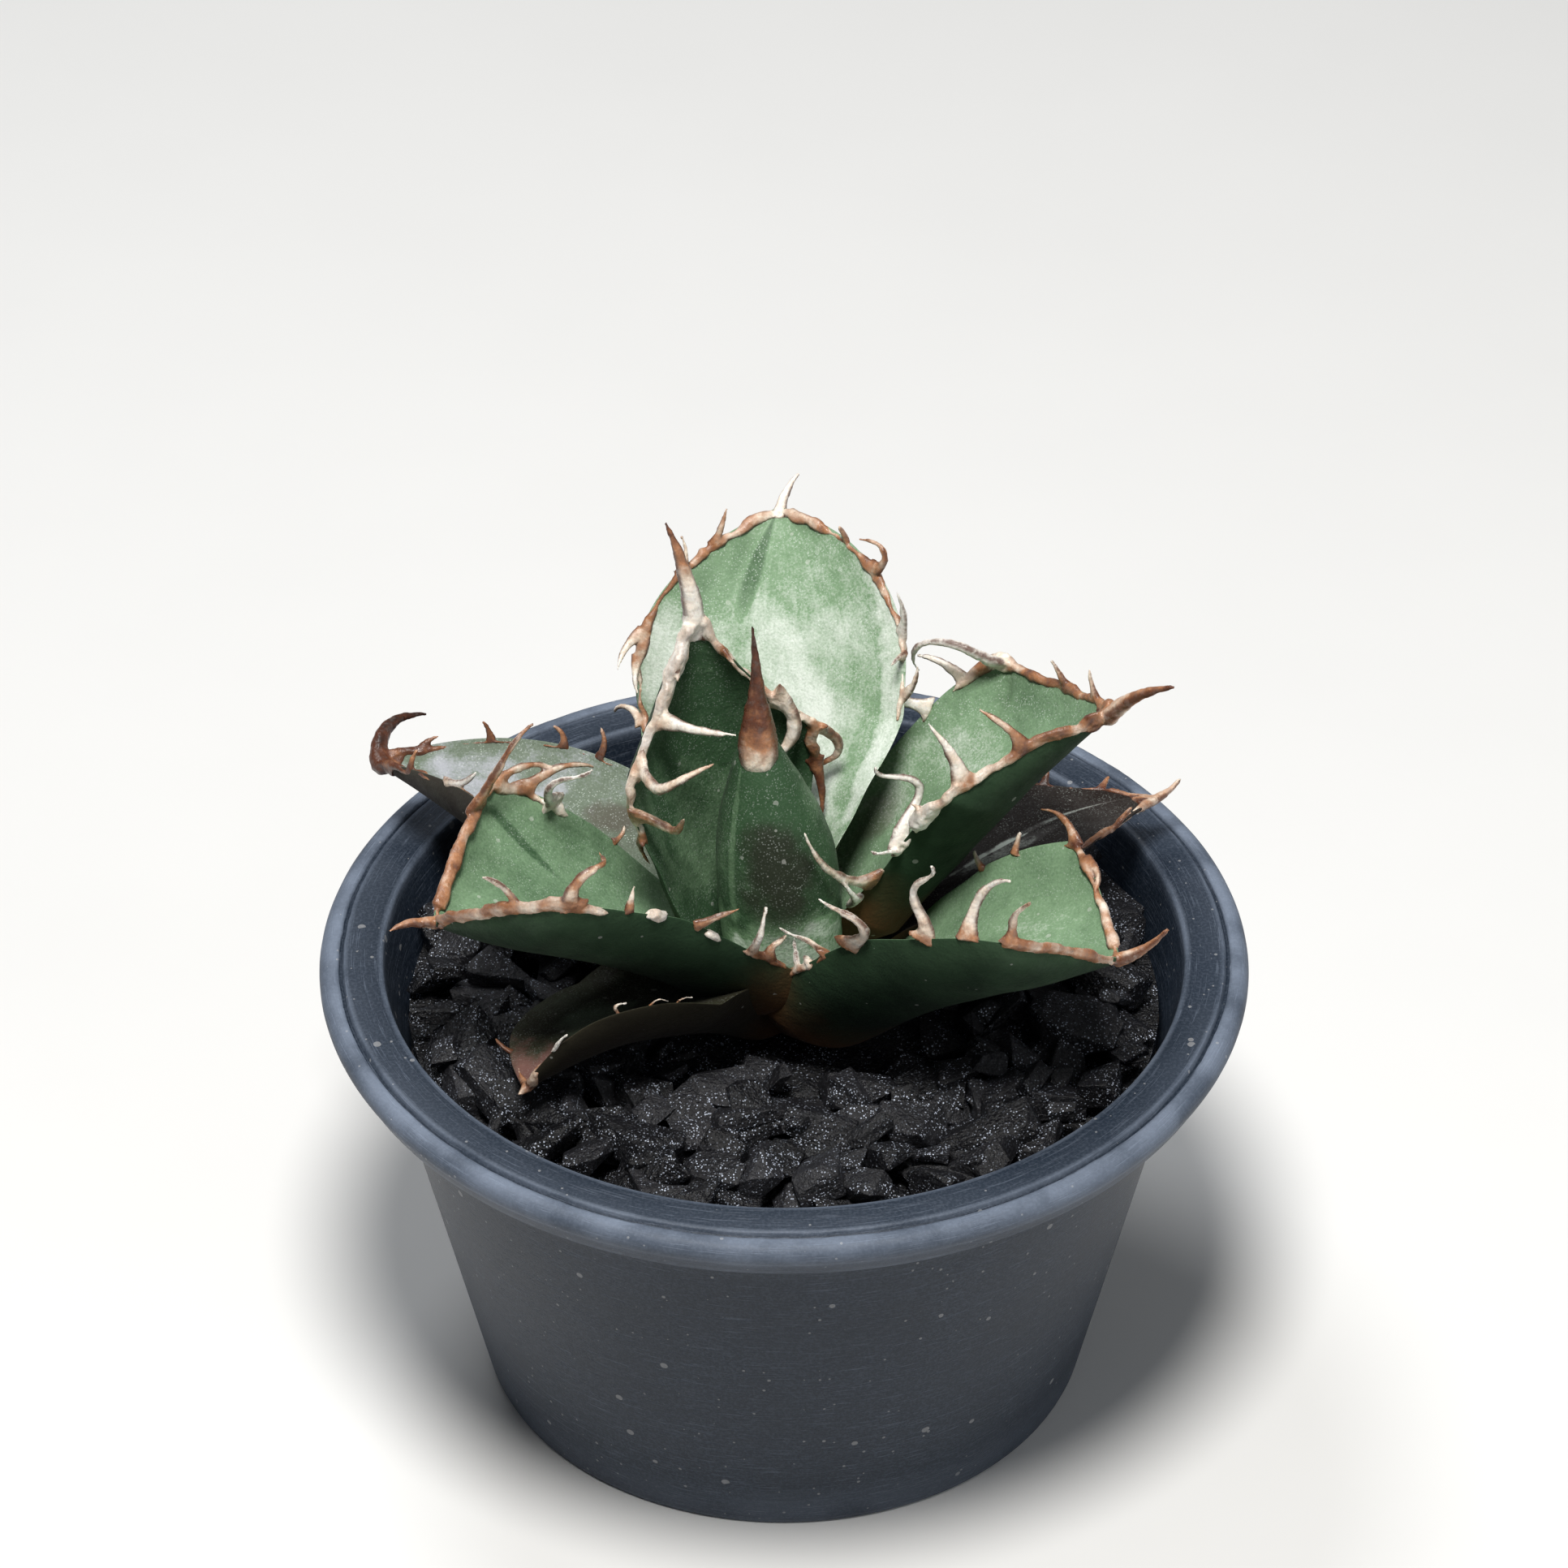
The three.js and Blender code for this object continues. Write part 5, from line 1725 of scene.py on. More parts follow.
@dataclass
class Gravel:
    """Angular slate stones on a gritty bed, clear of the leaves above them.

    Heights are from the rim. Each level of stones has its height, their number and their sizes.
    """

    bottom: float = -13.7
    bed: float = -10.6
    hole: float = 6.8
    rings: int = 48
    around: int = 144
    levels: tuple[tuple[float, int, Pair], ...] = (
        (-9.0, 110, (9, 15)),
        (-7.4, 110, (10, 18)),
        (-5.8, 80, (8, 19)),
        (-4.8, 90, (4, 10)),
    )
    top: float = -1.6
    clearing: float = 11.5
    square: float = 2.0
    squares: int = 80
    kinds: int = 26
    corners: int = 14
    bevel: float = 0.012
    chips: float = 0.016
    seed: int = 404
    finish: StoneFinish = StoneFinish()

    def reach(self, height: float) -> float:
        """The wall's inner radius at a height from the rim."""
        return lerp(48, 64.2, (height + RIM_TOP - 3) / (RIM_TOP - 3)) - 0.6

    def stone(self, draws: Draws) -> Skin:
        """One broken stone, one millimetre long.

        Args:
            draws: where its shape comes from.

        Returns:
            Its skin.
        """
        size = (0.5, draws.between(0.3, 0.42), draws.between(0.14, 0.3))
        work = bmesh.new()
        for _ in range(self.corners):
            spot = np.array([draws.between(-1, 1) for _ in range(3)])
            spot = np.sign(spot) * np.abs(unit(spot)) ** 0.5
            work.verts.new((spot * size).tolist())
        hull = bmesh.ops.convex_hull(work, input=work.verts)
        spare = [item for item in hull["geom_interior"] if isinstance(item, bmesh.types.BMVert)]
        bmesh.ops.delete(work, geom=spare, context="VERTS")
        bmesh.ops.dissolve_limit(work, angle_limit=0.16, verts=work.verts, edges=work.edges)
        bmesh.ops.bevel(work, geom=work.edges[:], offset=self.bevel, segments=1, affect="EDGES")
        bmesh.ops.triangulate(work, faces=work.faces)
        bmesh.ops.subdivide_edges(work, edges=work.edges, cuts=1, use_grid_fill=True)
        bmesh.ops.triangulate(work, faces=work.faces)
        work.verts.index_update()
        points = np.array([vert.co[:] for vert in work.verts])
        seed = int(draws() * 1000)
        chips = [layered_noise(points, 0.22, 2, seed + k) for k in range(3)]
        points = points + self.chips * np.stack(chips, axis=1)
        faces = [tuple(vert.index for vert in face.verts) for face in work.faces]
        work.free()
        return Skin(points, faces)

    @staticmethod
    def turned(draws: Draws) -> Array:
        """A turn for a stone that lies rather flat.

        Args:
            draws: where it comes from.

        Returns:
            Its three axes, one a row.
        """
        yaw, tilt, spin = draws.between(0, 2 * math.pi), draws.between(-0.85, 0.85), draws() * 6.28
        around = np.array([[math.cos(yaw), math.sin(yaw), 0], [-math.sin(yaw), math.cos(yaw), 0]])
        around = np.vstack([around, [0, 0, 1]])
        lean = np.array([[math.cos(tilt), 0, math.sin(tilt)], [0, 1, 0]])
        lean = np.vstack([lean, [-math.sin(tilt), 0, math.cos(tilt)]])
        last = np.array([[math.cos(spin), math.sin(spin), 0], [-math.sin(spin), math.cos(spin), 0]])
        return around @ lean @ np.vstack([last, [0, 0, 1]])

    def cells(self, points: Array, edge: int) -> Array:
        """The squares of the grid that points lie over.

        Args:
            points: places, the last axis along x, y and z.
            edge: how many squares along the grid's border are left out.

        Returns:
            The two indices of each point's square.
        """
        steps = points[..., :2] / self.square + self.squares / 2
        return np.clip(steps.astype(int), edge, self.squares - 1 - edge)

    def ceiling(self, forms: list[LeafForm]) -> Array:
        """The height from the rim of the lowest leaf above each square of a grid.

        Args:
            forms: the leaves' surfaces.

        Returns:
            Heights over the squares, the grid's middle on the pot's axis.
        """
        grid = np.full((self.squares, self.squares), 99.0)
        s, t = np.meshgrid(np.linspace(-0.2, 1.1, 160), np.linspace(-1.04, 1.04, 90))
        for form in forms:
            place, out = form.surface(np.minimum(s, 1), t)
            place = place - out * form.thickness(s, t)[..., None]
            cell = self.cells(place, 0)
            np.minimum.at(grid, (cell[..., 0], cell[..., 1]), place[..., 2] - RIM_TOP)
        return grid

    def heap(self, forms: list[LeafForm]) -> Skin:
        """The stones, in layers from the bed up.

        Args:
            forms: the leaves above them.

        Returns:
            Their skins as one, with a tone for each stone.
        """
        draws = Draws(self.seed)
        library = [self.stone(draws) for _ in range(self.kinds)]
        grid = self.ceiling(forms)
        placed = []
        for layer, (height, count, sizes) in enumerate(self.levels):
            for k in range(count):
                size = draws.between(*sizes)
                angle = k * GOLDEN_ANGLE + layer * 1.3 + draws.between(-0.06, 0.06)
                limit = self.reach(height) - size * 0.3
                reach = limit * math.sqrt((k + 0.5) / count) + draws.between(-1.2, 1.2)
                kind = library[int(draws() * self.kinds) % self.kinds]
                points = kind.points * size @ self.turned(draws)
                middle = (min(reach, limit) * math.cos(angle), min(reach, limit) * math.sin(angle))
                points = points + (*middle, height + draws.between(-0.7, 0.7))
                tone = draws()
                points = self.settled(points, grid)
                if points is not None:
                    values = {"tone": np.full(len(points), tone)}
                    placed.append(Skin(points + (0, 0, RIM_TOP), kind.faces, values))
        log.info("gravel: %d stones", len(placed))
        return joined(placed)

    def settled(self, points: Array, grid: Array) -> Array | None:
        """Lowers a stone under the leaves and holds it inside the wall.

        Args:
            points: its points, with heights from the rim.
            grid: the height of the lowest leaf over each square.

        Returns:
            Its points, or nothing where it has no room.
        """
        radius = np.linalg.norm(points[:, :2], axis=1)
        if radius.min() < self.clearing:
            return None
        excess = (radius - self.reach(float(points[:, 2].min()))).max()
        if excess > 0:
            middle = points.mean(axis=0)
            points = points - np.array([*(unit(middle[:2]) * excess), 0])
        cell = self.cells(points, 1)
        rooms = [grid[cell[:, 0] + i, cell[:, 1] + j] for i in (-1, 0, 1) for j in (-1, 0, 1)]
        room = min(float(np.min(rooms)) - 0.5, self.top)
        points = points - np.array([0, 0, max(0.0, float(points[:, 2].max()) - room)])
        return points if points[:, 2].min() > self.bottom + 0.3 else None

    def build(self, forms: list[LeafForm], effects: Effects) -> None:
        """Builds and dresses the gravel.

        Args:
            forms: the leaves above it.
            effects: the shared node groups.
        """
        wall = self.reach(self.bottom)
        radii = np.linspace(self.hole, wall, self.rings)
        top = np.stack([radii, np.full(self.rings, self.bed)], axis=1)
        profile = np.vstack([[(wall, self.bottom), (self.hole, self.bottom)], top])
        rings = turned_rings(profile + (0, RIM_TOP), self.around)
        inner = rings[3:-1]
        grit = layered_noise(inner.reshape(-1, 3), 3.2, 3, 12).reshape(inner.shape[:2])
        inner[..., 2] += 0.5 * grit
        bed = skin_of_rings(rings, {"tone": np.zeros(rings.shape[:2])}, loop=True)
        skin = joined([bed, self.heap(forms)])
        material = self.finish.material(effects)
        add_piece(mesh_from("gravel_stones", skin), material, "gravel", smooth=False)


@dataclass(frozen=True)
class Lamp:
    """A round soft light. Its place and its diameter are in metres and its power in watts."""

    name: str
    place: Triple
    size: float
    power: float
    colour: Triple


@dataclass
class Studio:
    """A pale floor, soft lights and the camera.

    The camera's rise over the rim and its distance back from the pot's axis are in metres. It
    looks down by an angle in degrees, and its focus is in the photo's pixels. The lights aim at
    a height above the rim, in metres.
    """

    rise: float = 0.740
    back: float = 0.9447
    down: float = 36.81
    focus: float = 9160.0
    world: Triple = (0.8, 0.83, 0.88)
    world_strength: float = 0.12
    floor_colour: Triple = (0.8, 0.8, 0.79)
    aim: float = 0.02
    lamps: tuple[Lamp, ...] = (
        Lamp("key", (-0.04, -0.36, 1.15), 0.32, 15.0, (1, 0.98, 0.95)),
        Lamp("fill", (0.85, -0.6, 0.6), 0.8, 1.8, (0.95, 0.98, 1)),
        Lamp("rear", (-0.3, 0.5, 1.1), 0.4, 4.5, (0.96, 0.98, 1)),
    )

    def build(self) -> None:
        """Builds the floor, the lights and the camera."""
        self.add_floor()
        for lamp in self.lamps:
            self.add_light(lamp)
        world = bpy.data.worlds.new("studio")
        world.use_nodes = True
        sky = world.node_tree.nodes["Background"]
        sky.inputs["Color"].default_value = (*self.world, 1)
        sky.inputs["Strength"].default_value = self.world_strength
        bpy.context.scene.world = world
        bpy.context.scene.view_settings.view_transform = "Standard"
        self.add_camera()

    def add_floor(self) -> None:
        """Adds the floor, which isn't part of the object."""
        corners = np.array([(-3, -3, 0), (3, -3, 0), (3, 3, 0), (-3, 3, 0)], float)
        mesh = mesh_from("floor", Skin(corners, [(0, 1, 2, 3)]), 1.0)
        material, wires, shader = new_material("Floor")
        cloud = wires.noise(wires.place(), 60, 3)
        pale = tuple(part * 0.96 for part in self.floor_colour)
        wires.feed(shader.inputs["Base Color"], wires.mix(cloud, self.floor_colour, pale))
        shader.inputs["Roughness"].default_value = 0.7
        mesh.materials.append(material)
        floor = bpy.data.objects.new("floor", mesh)
        bpy.context.scene.collection.objects.link(floor)

    def add_light(self, lamp: Lamp) -> None:
        """Adds a soft light that points at the plant.

        Args:
            lamp: the light's place, size, power and colour.
        """
        data = bpy.data.lights.new(lamp.name, "AREA")
        data.shape = "DISK"
        data.size = lamp.size
        data.energy = lamp.power
        data.color = lamp.colour
        light = bpy.data.objects.new(lamp.name, data)
        light.location = lamp.place
        towards = Vector((0, 0, RIM_TOP * MM + self.aim)) - Vector(lamp.place)
        light.rotation_euler = towards.to_track_quat("-Z", "Y").to_euler()
        bpy.context.scene.collection.objects.link(light)

    def add_camera(self) -> None:
        """Adds the camera at the photograph's viewing angle."""
        lens = bpy.data.cameras.new("camera")
        lens.sensor_width = SENSOR_WIDTH
        lens.lens = self.focus * SENSOR_WIDTH / IMAGE_WIDTH
        camera = bpy.data.objects.new("camera", lens)
        camera.location = (0, -self.back, self.rise + RIM_TOP * MM)
        camera.rotation_euler = (math.radians(90 - self.down), 0, 0)
        bpy.context.scene.collection.objects.link(camera)
        bpy.context.scene.camera = camera


# This plant


def leaf_shapes() -> list[LeafShape]:
    """The sizes of the open leaves, the youngest first.

    Returns:
        The leaves.
    """
    left, right = Side.LEFT, Side.RIGHT
    return [
        LeafShape(
            name="inner_left", base=(-6.5, 1, 3),
            azimuth=(137, 125), rise=(66, 92), roll=(-7, -15), cup=(48, 43, 70),
            length=57.5, width=38, thickness=7, widest=0.62, bluntness=0.82,
            left=(
                (0.4, 0.3, 0.5), (0.46, 0.8, 0.3), (0.55, 1.05, 0.2), (0.7, 1.1, 0.25),
                (0.8, 1.7, 0.12), (0.88, 2.1, 0.05), (1, 1.6, 0.1),
            ),
            right=(
                (0.4, 0.2, 0.7), (0.5, 0.7, 0.6), (0.58, 0.8, 0.4), (0.7, 0.6, 0.5),
                (0.85, 0.6, 0.45), (1, 0.9, 0.3),
            ),
            teeth=[
                Tooth(left, 0.77, 15.5, (-10, 35), (60, 65), 0, (0.2, 0.1), 1.15),
                Tooth(left, 0.66, 19, (-30, 75), (40, 50), -35, (0.2, 0.45), 1.15),
                Tooth(left, 0.52, 14.5, (-30, 40), (75, 25), -40, (0.35, 0.65), 1.3),
                Tooth(left, 0.44, 9.4, (-137, -93), (-44, 9), 0, (0.7, 0.8)),
                Tooth(right, 0.73, 19, (-60, -260), (0, 65), 0, (0.15, 0.4), 1.35),
                Tooth(right, 0.6, 17, (-85, -115), (-50, 45), 40, (0.35, 0.8)),
                Tooth(right, 0.47, 12, (-60, -90), (10, 30), 0, (0.75, 0.9)),
            ],
            spine=Spine(18, (5, 20), (-5, -15), (-0.05, 1)), seed=3,
        ),
        LeafShape(
            name="right", base=(12.5, 6, 8.5),
            azimuth=(10, -38), rise=(48, 41), roll=(-6, 6), cup=(48, 56, 47),
            length=57, width=42, thickness=9.5, widest=0.6, bluntness=0.82,
            left=(
                (0.28, 0, 0.4), (0.45, 0, 0.3), (0.5, 0.6, 0.5), (0.6, 1.2, 0.6), (0.7, 0.7, 0.8),
                (0.8, 1.1, 0.6), (0.9, 0.8, 0.75), (1, 1.3, 0.65),
            ),
            right=(
                (0.1, 0.4, 0.35), (0.2, 0.2, 0.4), (0.31, 0.5, 0.3), (0.38, 0.1, 0.4),
                (0.43, 2.6, 0.05), (0.5, 2.0, 0.1), (0.56, 0.7, 0.5), (0.64, 1.4, 0.15),
                (0.7, 1, 0.5), (1, 1.3, 0.7),
            ),
            teeth=[
                # Tones below 0, here and below, paint curled teeth paler, as painted light.
                Tooth(left, 0.61, 24.3, (-19, -193), (90, -61), -4, (-0.1, -0.2)),
                Tooth(left, 0.5, 9.5, (-5, -55), (15, -10), 0, (0.15, 0.1)),
                Tooth(left, 0.39, 14.5, (-20, -65), (25, 35), 0, (-0.1, -0.2)),
                Tooth(left, 0.22, 8.7, (-17, -59), (-26, 42), 7, (-0.1, -0.2)),
                Tooth(right, 0.79, 10.5, (15, -75), (25, 65), 0, (0.55, 0.4), 1.25),
                Tooth(right, 0.64, 12.5, (-5, -5), (40, 55), 12, (0.25, 0.15), 1.45),
                Tooth(right, 0.31, 20, (50, 75), (45, 10), 85, (-0.1, -0.2)),
                Tooth(right, 0.27, 7.3, (61, -98), (-40, 64), 13, (-0.1, -0.2)),
                Tooth(right, 0.14, 20, (-10, 50), (0, 40), 0, (0.5, 0.15)),
                Tooth(right, 0.05, 10.5, (16, 37), (-37, 54), 6, (0, -0.2)),
            ],
            spine=Spine(15.5, (5, 0), (15, -15), (0.5, 1)), seed=5,
            folds=(
                Fold((0.64, 0.98), (0.56, 0.6), 0.9, 0.6),
                Fold((0.72, 0.98), (0.68, 0.7), 0.8, 0.4),
            ),
        ),
        LeafShape(
            name="front_left", base=(-7.5, -9, 2),
            azimuth=(203, 190.5), rise=(40, 8), roll=(17, 7), cup=(32, 61, 73),
            length=55, width=54, thickness=6.5, widest=0.77, bluntness=1.5,
            left=(
                (0.08, 0.6, 0.8), (0.22, 0.45, 0.75), (0.28, 0, 0.5), (0.33, 0, 0.3),
                (0.345, 0.8, 0.12), (0.375, 0.8, 0.12), (0.39, 0, 0.3), (0.5, 0, 0.2),
                (0.515, 1, 0.1), (0.55, 1.1, 0.1), (0.565, 0, 0.3), (0.66, 0, 0.4),
                (0.69, 0.9, 0.45), (0.75, 1.4, 0.5), (1, 1.4, 0.6),
            ),
            right=(
                (0.3, 0, 0.6), (0.5, 0, 0.6), (0.56, 0.8, 0.2), (0.62, 0.3, 0.3), (0.68, 0.7, 0.4),
                (0.76, 0.9, 0.4), (0.83, 0.5, 0.6), (0.9, 0.9, 0.55), (1, 1, 0.7),
            ),
            teeth=[
                Tooth(left, 0.86, 9, (-5, 20), (35, -15), 0, (0.5, 0.3)),
                Tooth(left, 0.75, 17, (45, -200), (-5, 70), 5, (0.5, 0.65)),
                Tooth(left, 0.42, 7.5, (-30, -30), (5, 5), 0, (0.3, 0.6)),
                Tooth(left, 0.22, 10, (46, 19), (-7, 50), -8, (0.2, 0.1)),
                Tooth(left, 0.15, 6.5, (50, -80), (10, 50), 30, (0.7, 0.3)),
                Tooth(right, 0.85, 17.5, (-20, -115), (70, 30), -10, (0.55, 0.55)),
                Tooth(right, 0.77, 11, (-35, -115), (15, 20), 0, (0.5, 0.5)),
                Tooth(right, 0.68, 14, (-20, -90), (25, -20), 0, (0.5, 0.5)),
                Tooth(right, 0.58, 17, (55, 0), (55, 40), 70, (-0.05, -0.15)),
            ],
            spine=Spine(8, (0, 30), (10, -15), (0.6, 0.8)), seed=7,
            folds=(Fold((0.83, -0.9), (0.56, -0.5), 1.0, 0.6),),
        ),
        LeafShape(
            name="rear", base=(-4, 9, 4),
            azimuth=(81, 91), rise=(60, 31), roll=(-30, -11), cup=(48, 6, 45),
            length=64, width=48, thickness=7.5, widest=0.5, bluntness=2.6,
            left=(
                (0.36, 0, 0.6), (0.4, 0.5, 0.6), (0.5, 0.3, 0.65), (0.6, 0.7, 0.5),
                (0.66, 0.9, 0.5), (0.75, 0.35, 0.8), (0.85, 0.6, 0.65), (0.93, 0.8, 0.5),
                (1, 0.9, 0.45),
            ),
            right=(
                (0.4, 0, 0.6), (0.5, 0.5, 0.3), (0.56, 0.2, 0.5), (0.62, 0.7, 0.4), (0.7, 0.3, 0.7),
                (0.78, 0.9, 0.55), (0.86, 0.5, 0.75), (0.93, 0.8, 0.55), (1, 0.9, 0.45),
            ),
            teeth=[
                Tooth(left, 0.9, 7, (65, 45), (25, 25), 0, (0.5, 0.4)),
                Tooth(left, 0.82, 7, (85, 15), (20, 15), 0, (0.5, 0.4)),
                Tooth(left, 0.67, 8, (-45, -105), (20, 30), 0, (0.3, 0.2)),
                Tooth(left, 0.61, 6.5, (-80, -120), (20, 20), 0, (0.3, 0.2)),
                Tooth(left, 0.42, 10, (80, -20), (5, -60), 0, (0.4, 0.3)),
                Tooth(right, 0.88, 3.5, (15, 30), (40, 60), 0, (0.4, 0.3)),
                Tooth(right, 0.8, 11, (-45, 130), (25, 20), -25, (0.55, 0.6)),
                Tooth(right, 0.64, 9, (25, 75), (30, 45), 0, (-0.05, -0.15)),
                Tooth(right, 0.59, 6, (-40, -90), (70, 50), 0, (0.3, 0.2)),
                Tooth(right, 0.5, 7, (15, 75), (20, 25), 0, (0.3, 0.2)),
            ],
            spine=Spine(8, (-10, -35), (-5, -20), (0.2, 0.1)), seed=11,
            folds=(Fold((0.97, 0.22), (0.72, 0.27), 1.1, 0.9),),
        ),
        LeafShape(
            name="front_right", base=(9.5, -10, -1.5),
            azimuth=(-40, -10), rise=(43, 10), roll=(-11, -14), cup=(44, 66, 57),
            length=54.5, width=50, thickness=9, widest=0.75, bluntness=1.75,
            left=(
                (0.36, 0, 0.7), (0.7, 0, 0.7), (0.78, 0.4, 0.6), (0.85, 0.7, 0.5),
                (0.89, 0.25, 0.8), (0.94, 0.8, 0.45), (1, 1, 0.6),
            ),
            right=(
                (0.08, 0.6, 0.85), (0.26, 0.5, 0.75), (0.35, 0, 0.5), (0.8, 0, 0.5),
                (0.84, 1.1, 0.6), (1, 1.2, 0.6),
            ),
            teeth=[
                Tooth(right, 0.4, 17, (60, -15), (-10, 5), 40, (0.35, 0.2)),
                Tooth(right, 0.63, 19.5, (55, 10), (20, -10), -45, (0.35, 0.1)),
                Tooth(right, 0.74, 16.5, (10, 75), (50, -20), 0, (0.35, 0.05)),
                Tooth(right, 0.82, 12, (25, -25), (35, -25), -25, (0.5, 0.4)),
                Tooth(right, 0.31, 11.9, (-116, 8), (43, 1), 26, (0.6, 0)),
                # Tones below 0 paint the next two curled teeth paler, as painted light.
                Tooth(right, 0.24, 7, (-70, -190), (45, 20), 0, (0, -0.2)),
                Tooth(right, 0.19, 5.5, (-60, 60), (50, 60), 30, (-0.1, -0.2)),
                Tooth(right, 0.14, 5, (-90, -20), (30, 40), 0, (0.7, 0.4)),
                Tooth(left, 0.79, 10, (-40, -125), (15, 15), 0, (0.7, 0.6)),
                Tooth(left, 0.84, 7.5, (60, 130), (0, 10), 0, (0.7, 0.6)),
            ],
            spine=Spine(10, (0, 0), (15, 45), (0.6, 0.75)), seed=13,
        ),
        LeafShape(
            name="outer_left", base=(-11, 4.5, 1),
            azimuth=(147, 161), rise=(14, 9), roll=(6, 15), cup=(50, 56, 70),
            length=63, width=35.5, thickness=9, widest=0.42, bluntness=2.2,
            left=((0.5, 0, 0.85), (0.78, 0.3, 0.85), (0.9, 0.5, 0.85), (1, 1, 0.9)),
            right=(
                (0.32, 0, 0.85), (0.52, 0.2, 0.8), (0.61, 0.2, 0.8), (0.8, 0.2, 0.85), (1, 1, 0.9),
            ),
            teeth=[
                Tooth(left, 0.9, 4, (-15, -40), (30, 40), 0, (0.8, 0.6)),
                Tooth(left, 0.78, 8, (-90, -40), (5, 30), 0, (0.15, -0.1)),
                Tooth(right, 0.61, 4.5, (-10, 85), (20, 20), 0, (0.7, 0.55)),
                Tooth(right, 0.52, 5.5, (-25, 55), (15, 15), 0, (0.7, 0.55)),
            ],
            spine=Spine(17, (-50, -145), (30, 0), (1.05, 1.3)), seed=17,
            small_tone=(0.85, 0.7),
        ),
        LeafShape(
            name="outer_right", base=(9.5, 5.5, 0),
            azimuth=(26, 21), rise=(24, -5), roll=(7, -17), cup=(40, 21, 6),
            length=57.5, width=31, thickness=6, widest=0.52, bluntness=1.55,
            left=((0.4, 0, 0.85), (0.7, 0.25, 0.85), (0.9, 0.3, 0.8), (1, 0.7, 0.4)),
            right=(
                (0.45, 0, 0.85), (0.7, 0.3, 0.7), (0.8, 0.5, 0.5), (0.9, 0.3, 0.6), (1, 0.7, 0.4),
            ),
            teeth=[],
            spine=Spine(6, (10, 25), (15, 30), (0.7, 0.2)), seed=19,
            small_tone=(0.8, 0.6),
        ),
        LeafShape(
            name="low_front", base=(-5.5, -5.5, -4),
            azimuth=(220, 226), rise=(32, -17), roll=(6, 44), cup=(60, 12, 46),
            length=50, width=36, thickness=8.5, widest=0.56, bluntness=3.0,
            left=((0.5, 0, 0.7), (0.75, 0.14, 0.7), (0.92, 0.12, 0.6), (1, 0.5, 0.5)),
            right=((0.82, 0, 0.7), (0.93, 0.1, 0.6), (1, 0.4, 0.5)),
            teeth=[
                # A tone below 0 paints this curled tooth paler, as painted light.
                Tooth(left, 0.92, 5, (-60, -90), (10, -10), 0, (-0.1, -0.2), 0.7),
                Tooth(left, 0.76, 4, (-25, -75), (35, -10), 60, (0.5, 0.1), 0.5),
                Tooth(left, 0.68, 4, (-65, -85), (20, -20), 40, (0.5, 0.1), 0.45),
                Tooth(left, 0.6, 3, (-15, -65), (25, -20), 0, (0.5, 0.2), 0.4),
            ],
            spine=Spine(2.5, (20, 40), (5, 10), (0.5, 0.5)), seed=23,
            small_tone=(0.75, 0.6),
        ),
        LeafShape(
            name="low_rear", base=(-2, 9, -2),
            azimuth=(98, 90), rise=(22, 0), roll=(0, 4), cup=(45, 28, 40),
            length=53, width=32, thickness=7, widest=0.5, bluntness=1.9,
            left=((0.5, 0.2, 0.7), (0.8, 0.4, 0.7), (1, 0.7, 0.6)),
            right=((0.4, 0.2, 0.7), (0.8, 0.4, 0.7), (1, 0.7, 0.6)),
            teeth=[],
            spine=Spine(7, (5, 20), (10, 20), (0.5, 0.7)), seed=29,
        ),
    ]


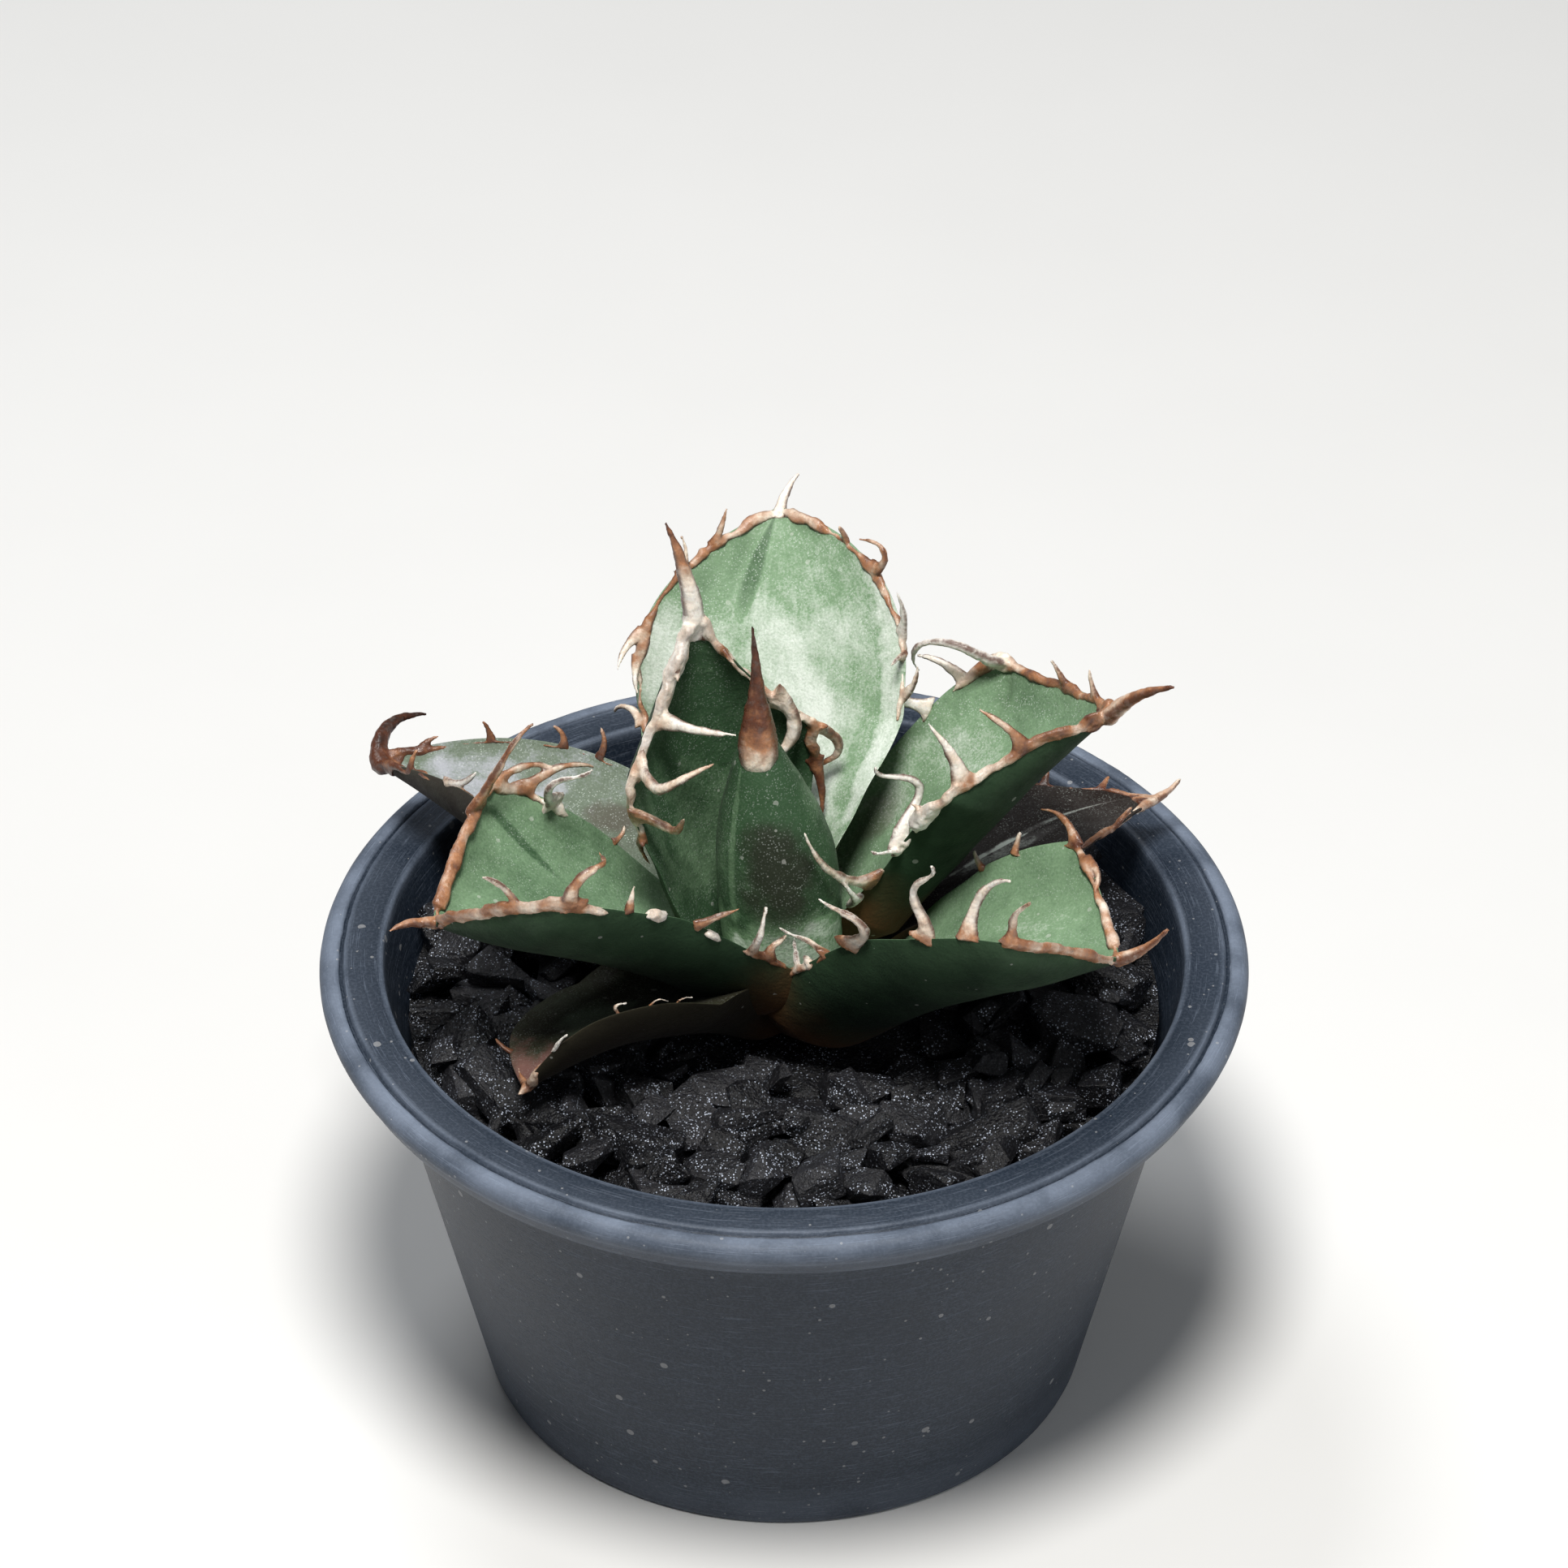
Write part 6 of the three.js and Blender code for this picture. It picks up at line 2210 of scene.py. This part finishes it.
def blade_finishes() -> dict[str, BladeFinish]:
    """The finish of each leaf's blade by the leaf's name.

    Returns:
        The finishes.
    """
    bloom, bare, stain = MarkKind.BLOOM, MarkKind.BARE_AND_SHADE, MarkKind.STAIN_AND_SHADE
    return {
        "bud": BladeFinish(
            # A bloom of 0 keeps the bud dark, partly its own green, partly painted shade.
            bloom=0.0,
            stipple=0.22,
            # The dark colour here, laid on by the first mark below, is a painted shadow on the
            # bud's front.
            stain=(0.02, 0.019, 0.014),
            marks=(
                Mark(stain, 0.4, -0.97, (0.21, 0.55), 0, 0.85, 1.8),
                Mark(bloom, 0.08, -1.0, (0.2, 1.2), 0, 0.8, 2.5),
                Mark(bloom, 0.45, -1.5, (0.4, 0.06), 0, 0.25),
            ),
        ),
        "inner_left": BladeFinish(
            # A low bloom darkens this face as painted shade.
            bloom=0.03,
            marks=(
                Mark(bloom, 0.35, 0.1, (0.25, 0.5), 0, 0.2, 3),
                Mark(bloom, 0.55, 0.75, (0.3, 0.1), 0, 0.15, 4),
            ),
        ),
        "right": BladeFinish(
            bloom=0.53,
            stipple=0.4,
            marks=(
                Mark(stain, 0.12, 0.6, (0.12, 0.25), 0, 0.5),
                # Painted light: a paler patch where the bud's shadow falls on this face.
                Mark(bloom, 0.28, 0.6, (0.2, 0.35), 0, 0.12),
                Mark(bare, 0.75, 0.4, (0.25, 0.5), 0, 0.12),
            ),
        ),
        "front_left": BladeFinish(
            bloom=0.36,
            marks=(
                # Painted shade: a dark line along the fold's crease.
                Mark(bare, 0.69, -0.7, (0.15, 0.05), -1.5, 0.3, 0.8),
                # A paler band, partly bloom, partly painted light.
                Mark(bloom, 0.45, 0.15, (0.2, 0.4), 1.5, 0.4, 1.0),
                Mark(bloom, 0.75, 0.8, (0.25, 0.25), 0, 0.14, 3),
            ),
        ),
        "rear": BladeFinish(
            bloom=0.68,
            stipple=0.42,
            marks=(
                # A white streak, partly bloom, partly a painted sheen.
                Mark(bloom, 0.5, -0.2, (0.36, 0.26), 1.5, 0.22, 1.2),
                Mark(bare, 1.0, 0.0, (0.32, 1.6), 0, 0.1, 1.5),
                Mark(bloom, 0.5, -0.92, (0.35, 0.12), 0, 0.26, 4),
                Mark(bloom, 0.62, 0.8, (0.14, 0.22), 0, 0.25),
                # Painted shade: a dark line along the fold's crease.
                Mark(bare, 0.86, 0.26, (0.17, 0.1), -0.2, 0.42, 0.6),
            ),
        ),
        "front_right": BladeFinish(
            bloom=0.46,
            marks=(Mark(bloom, 0.6, 0.3, (0.3, 0.4), 0, 0.12),),
        ),
        "outer_left": BladeFinish(
            bloom=0.6,
            deep=(0.05, 0.043, 0.035),
            pale=(0.14, 0.18, 0.13),
            stipple=0.35,
            white=(0.37, 0.385, 0.415),
            under=(0.022, 0.016, 0.014),
            marks=(
                Mark(bloom, 0.72, 0.0, (0.3, 0.8), 0, 0.35, 3),
                Mark(bare, 0.88, 0.3, (0.12, 0.5), 0, 0.4, 3),
                Mark(bare, 0.35, 0.0, (0.2, 0.8), 0, 0.15),
                Mark(stain, 0.42, -0.5, (0.07, 0.2), 0.5, 0.6, 3),
            ),
        ),
        "outer_right": BladeFinish(
            bloom=0.12,
            deep=(0.014, 0.009, 0.007),
            pale=(0.07, 0.064, 0.06),
            under=(0.02, 0.013, 0.01),
            stipple=0.2,
            marks=(
                Mark(bloom, 0.6, 0.0, (0.36, 0.05), 0.72, 0.6, 0.5),
                # A silvery patch, partly bloom, partly a painted sheen.
                Mark(bloom, 0.5, -0.2, (0.2, 0.14), 0.3, 0.6, 3),
            ),
        ),
        "low_front": BladeFinish(
            bloom=0.08,
            deep=(0.026, 0.024, 0.012),
            pale=(0.09, 0.12, 0.075),
            under=(0.012, 0.008, 0.005),
            stain=(0.2, 0.1, 0.085),
            stipple=0.2,
            marks=(
                Mark(stain, 1.0, 0.0, (0.2, 1.5), 0, 0.9, 3),
                # A brighter green patch, partly the leaf's own colour, partly a painted glint.
                Mark(bloom, 0.6, -0.3, (0.16, 0.3), 0, 0.5, 3),
            ),
        ),
        "low_rear": BladeFinish(bloom=0.3, under=(0.05, 0.05, 0.035)),
    }


def main() -> None:
    """Builds the plant, its pot and the studio."""
    logging.basicConfig(level=logging.INFO, format="%(message)s")
    effects = Effects()
    horn = HornFinish().material(effects)
    finishes = blade_finishes()
    Studio().build()
    Pot().build(effects)
    Crown().build(effects)
    Bud(finish=finishes["bud"]).build(horn, effects)
    forms = [Leaf(shape, finishes[shape.name]).build(horn, effects) for shape in leaf_shapes()]
    Gravel().build(forms, effects)
    soil = EarthFinish((0.012, 0.008, 0.006), (0.05, 0.034, 0.022), 3.5)
    dress("soil", soil.material("Potting_Mix", effects))


def dress(node: str, material: Material) -> None:
    """Gives a solid that stays in the scene its finish.

    Args:
        node: the solid's name.
        material: its finish.
    """
    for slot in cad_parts[node].material_slots:
        slot.material = material
    log.info("%s: dressed", node)


if __name__ == "__main__":
    main()
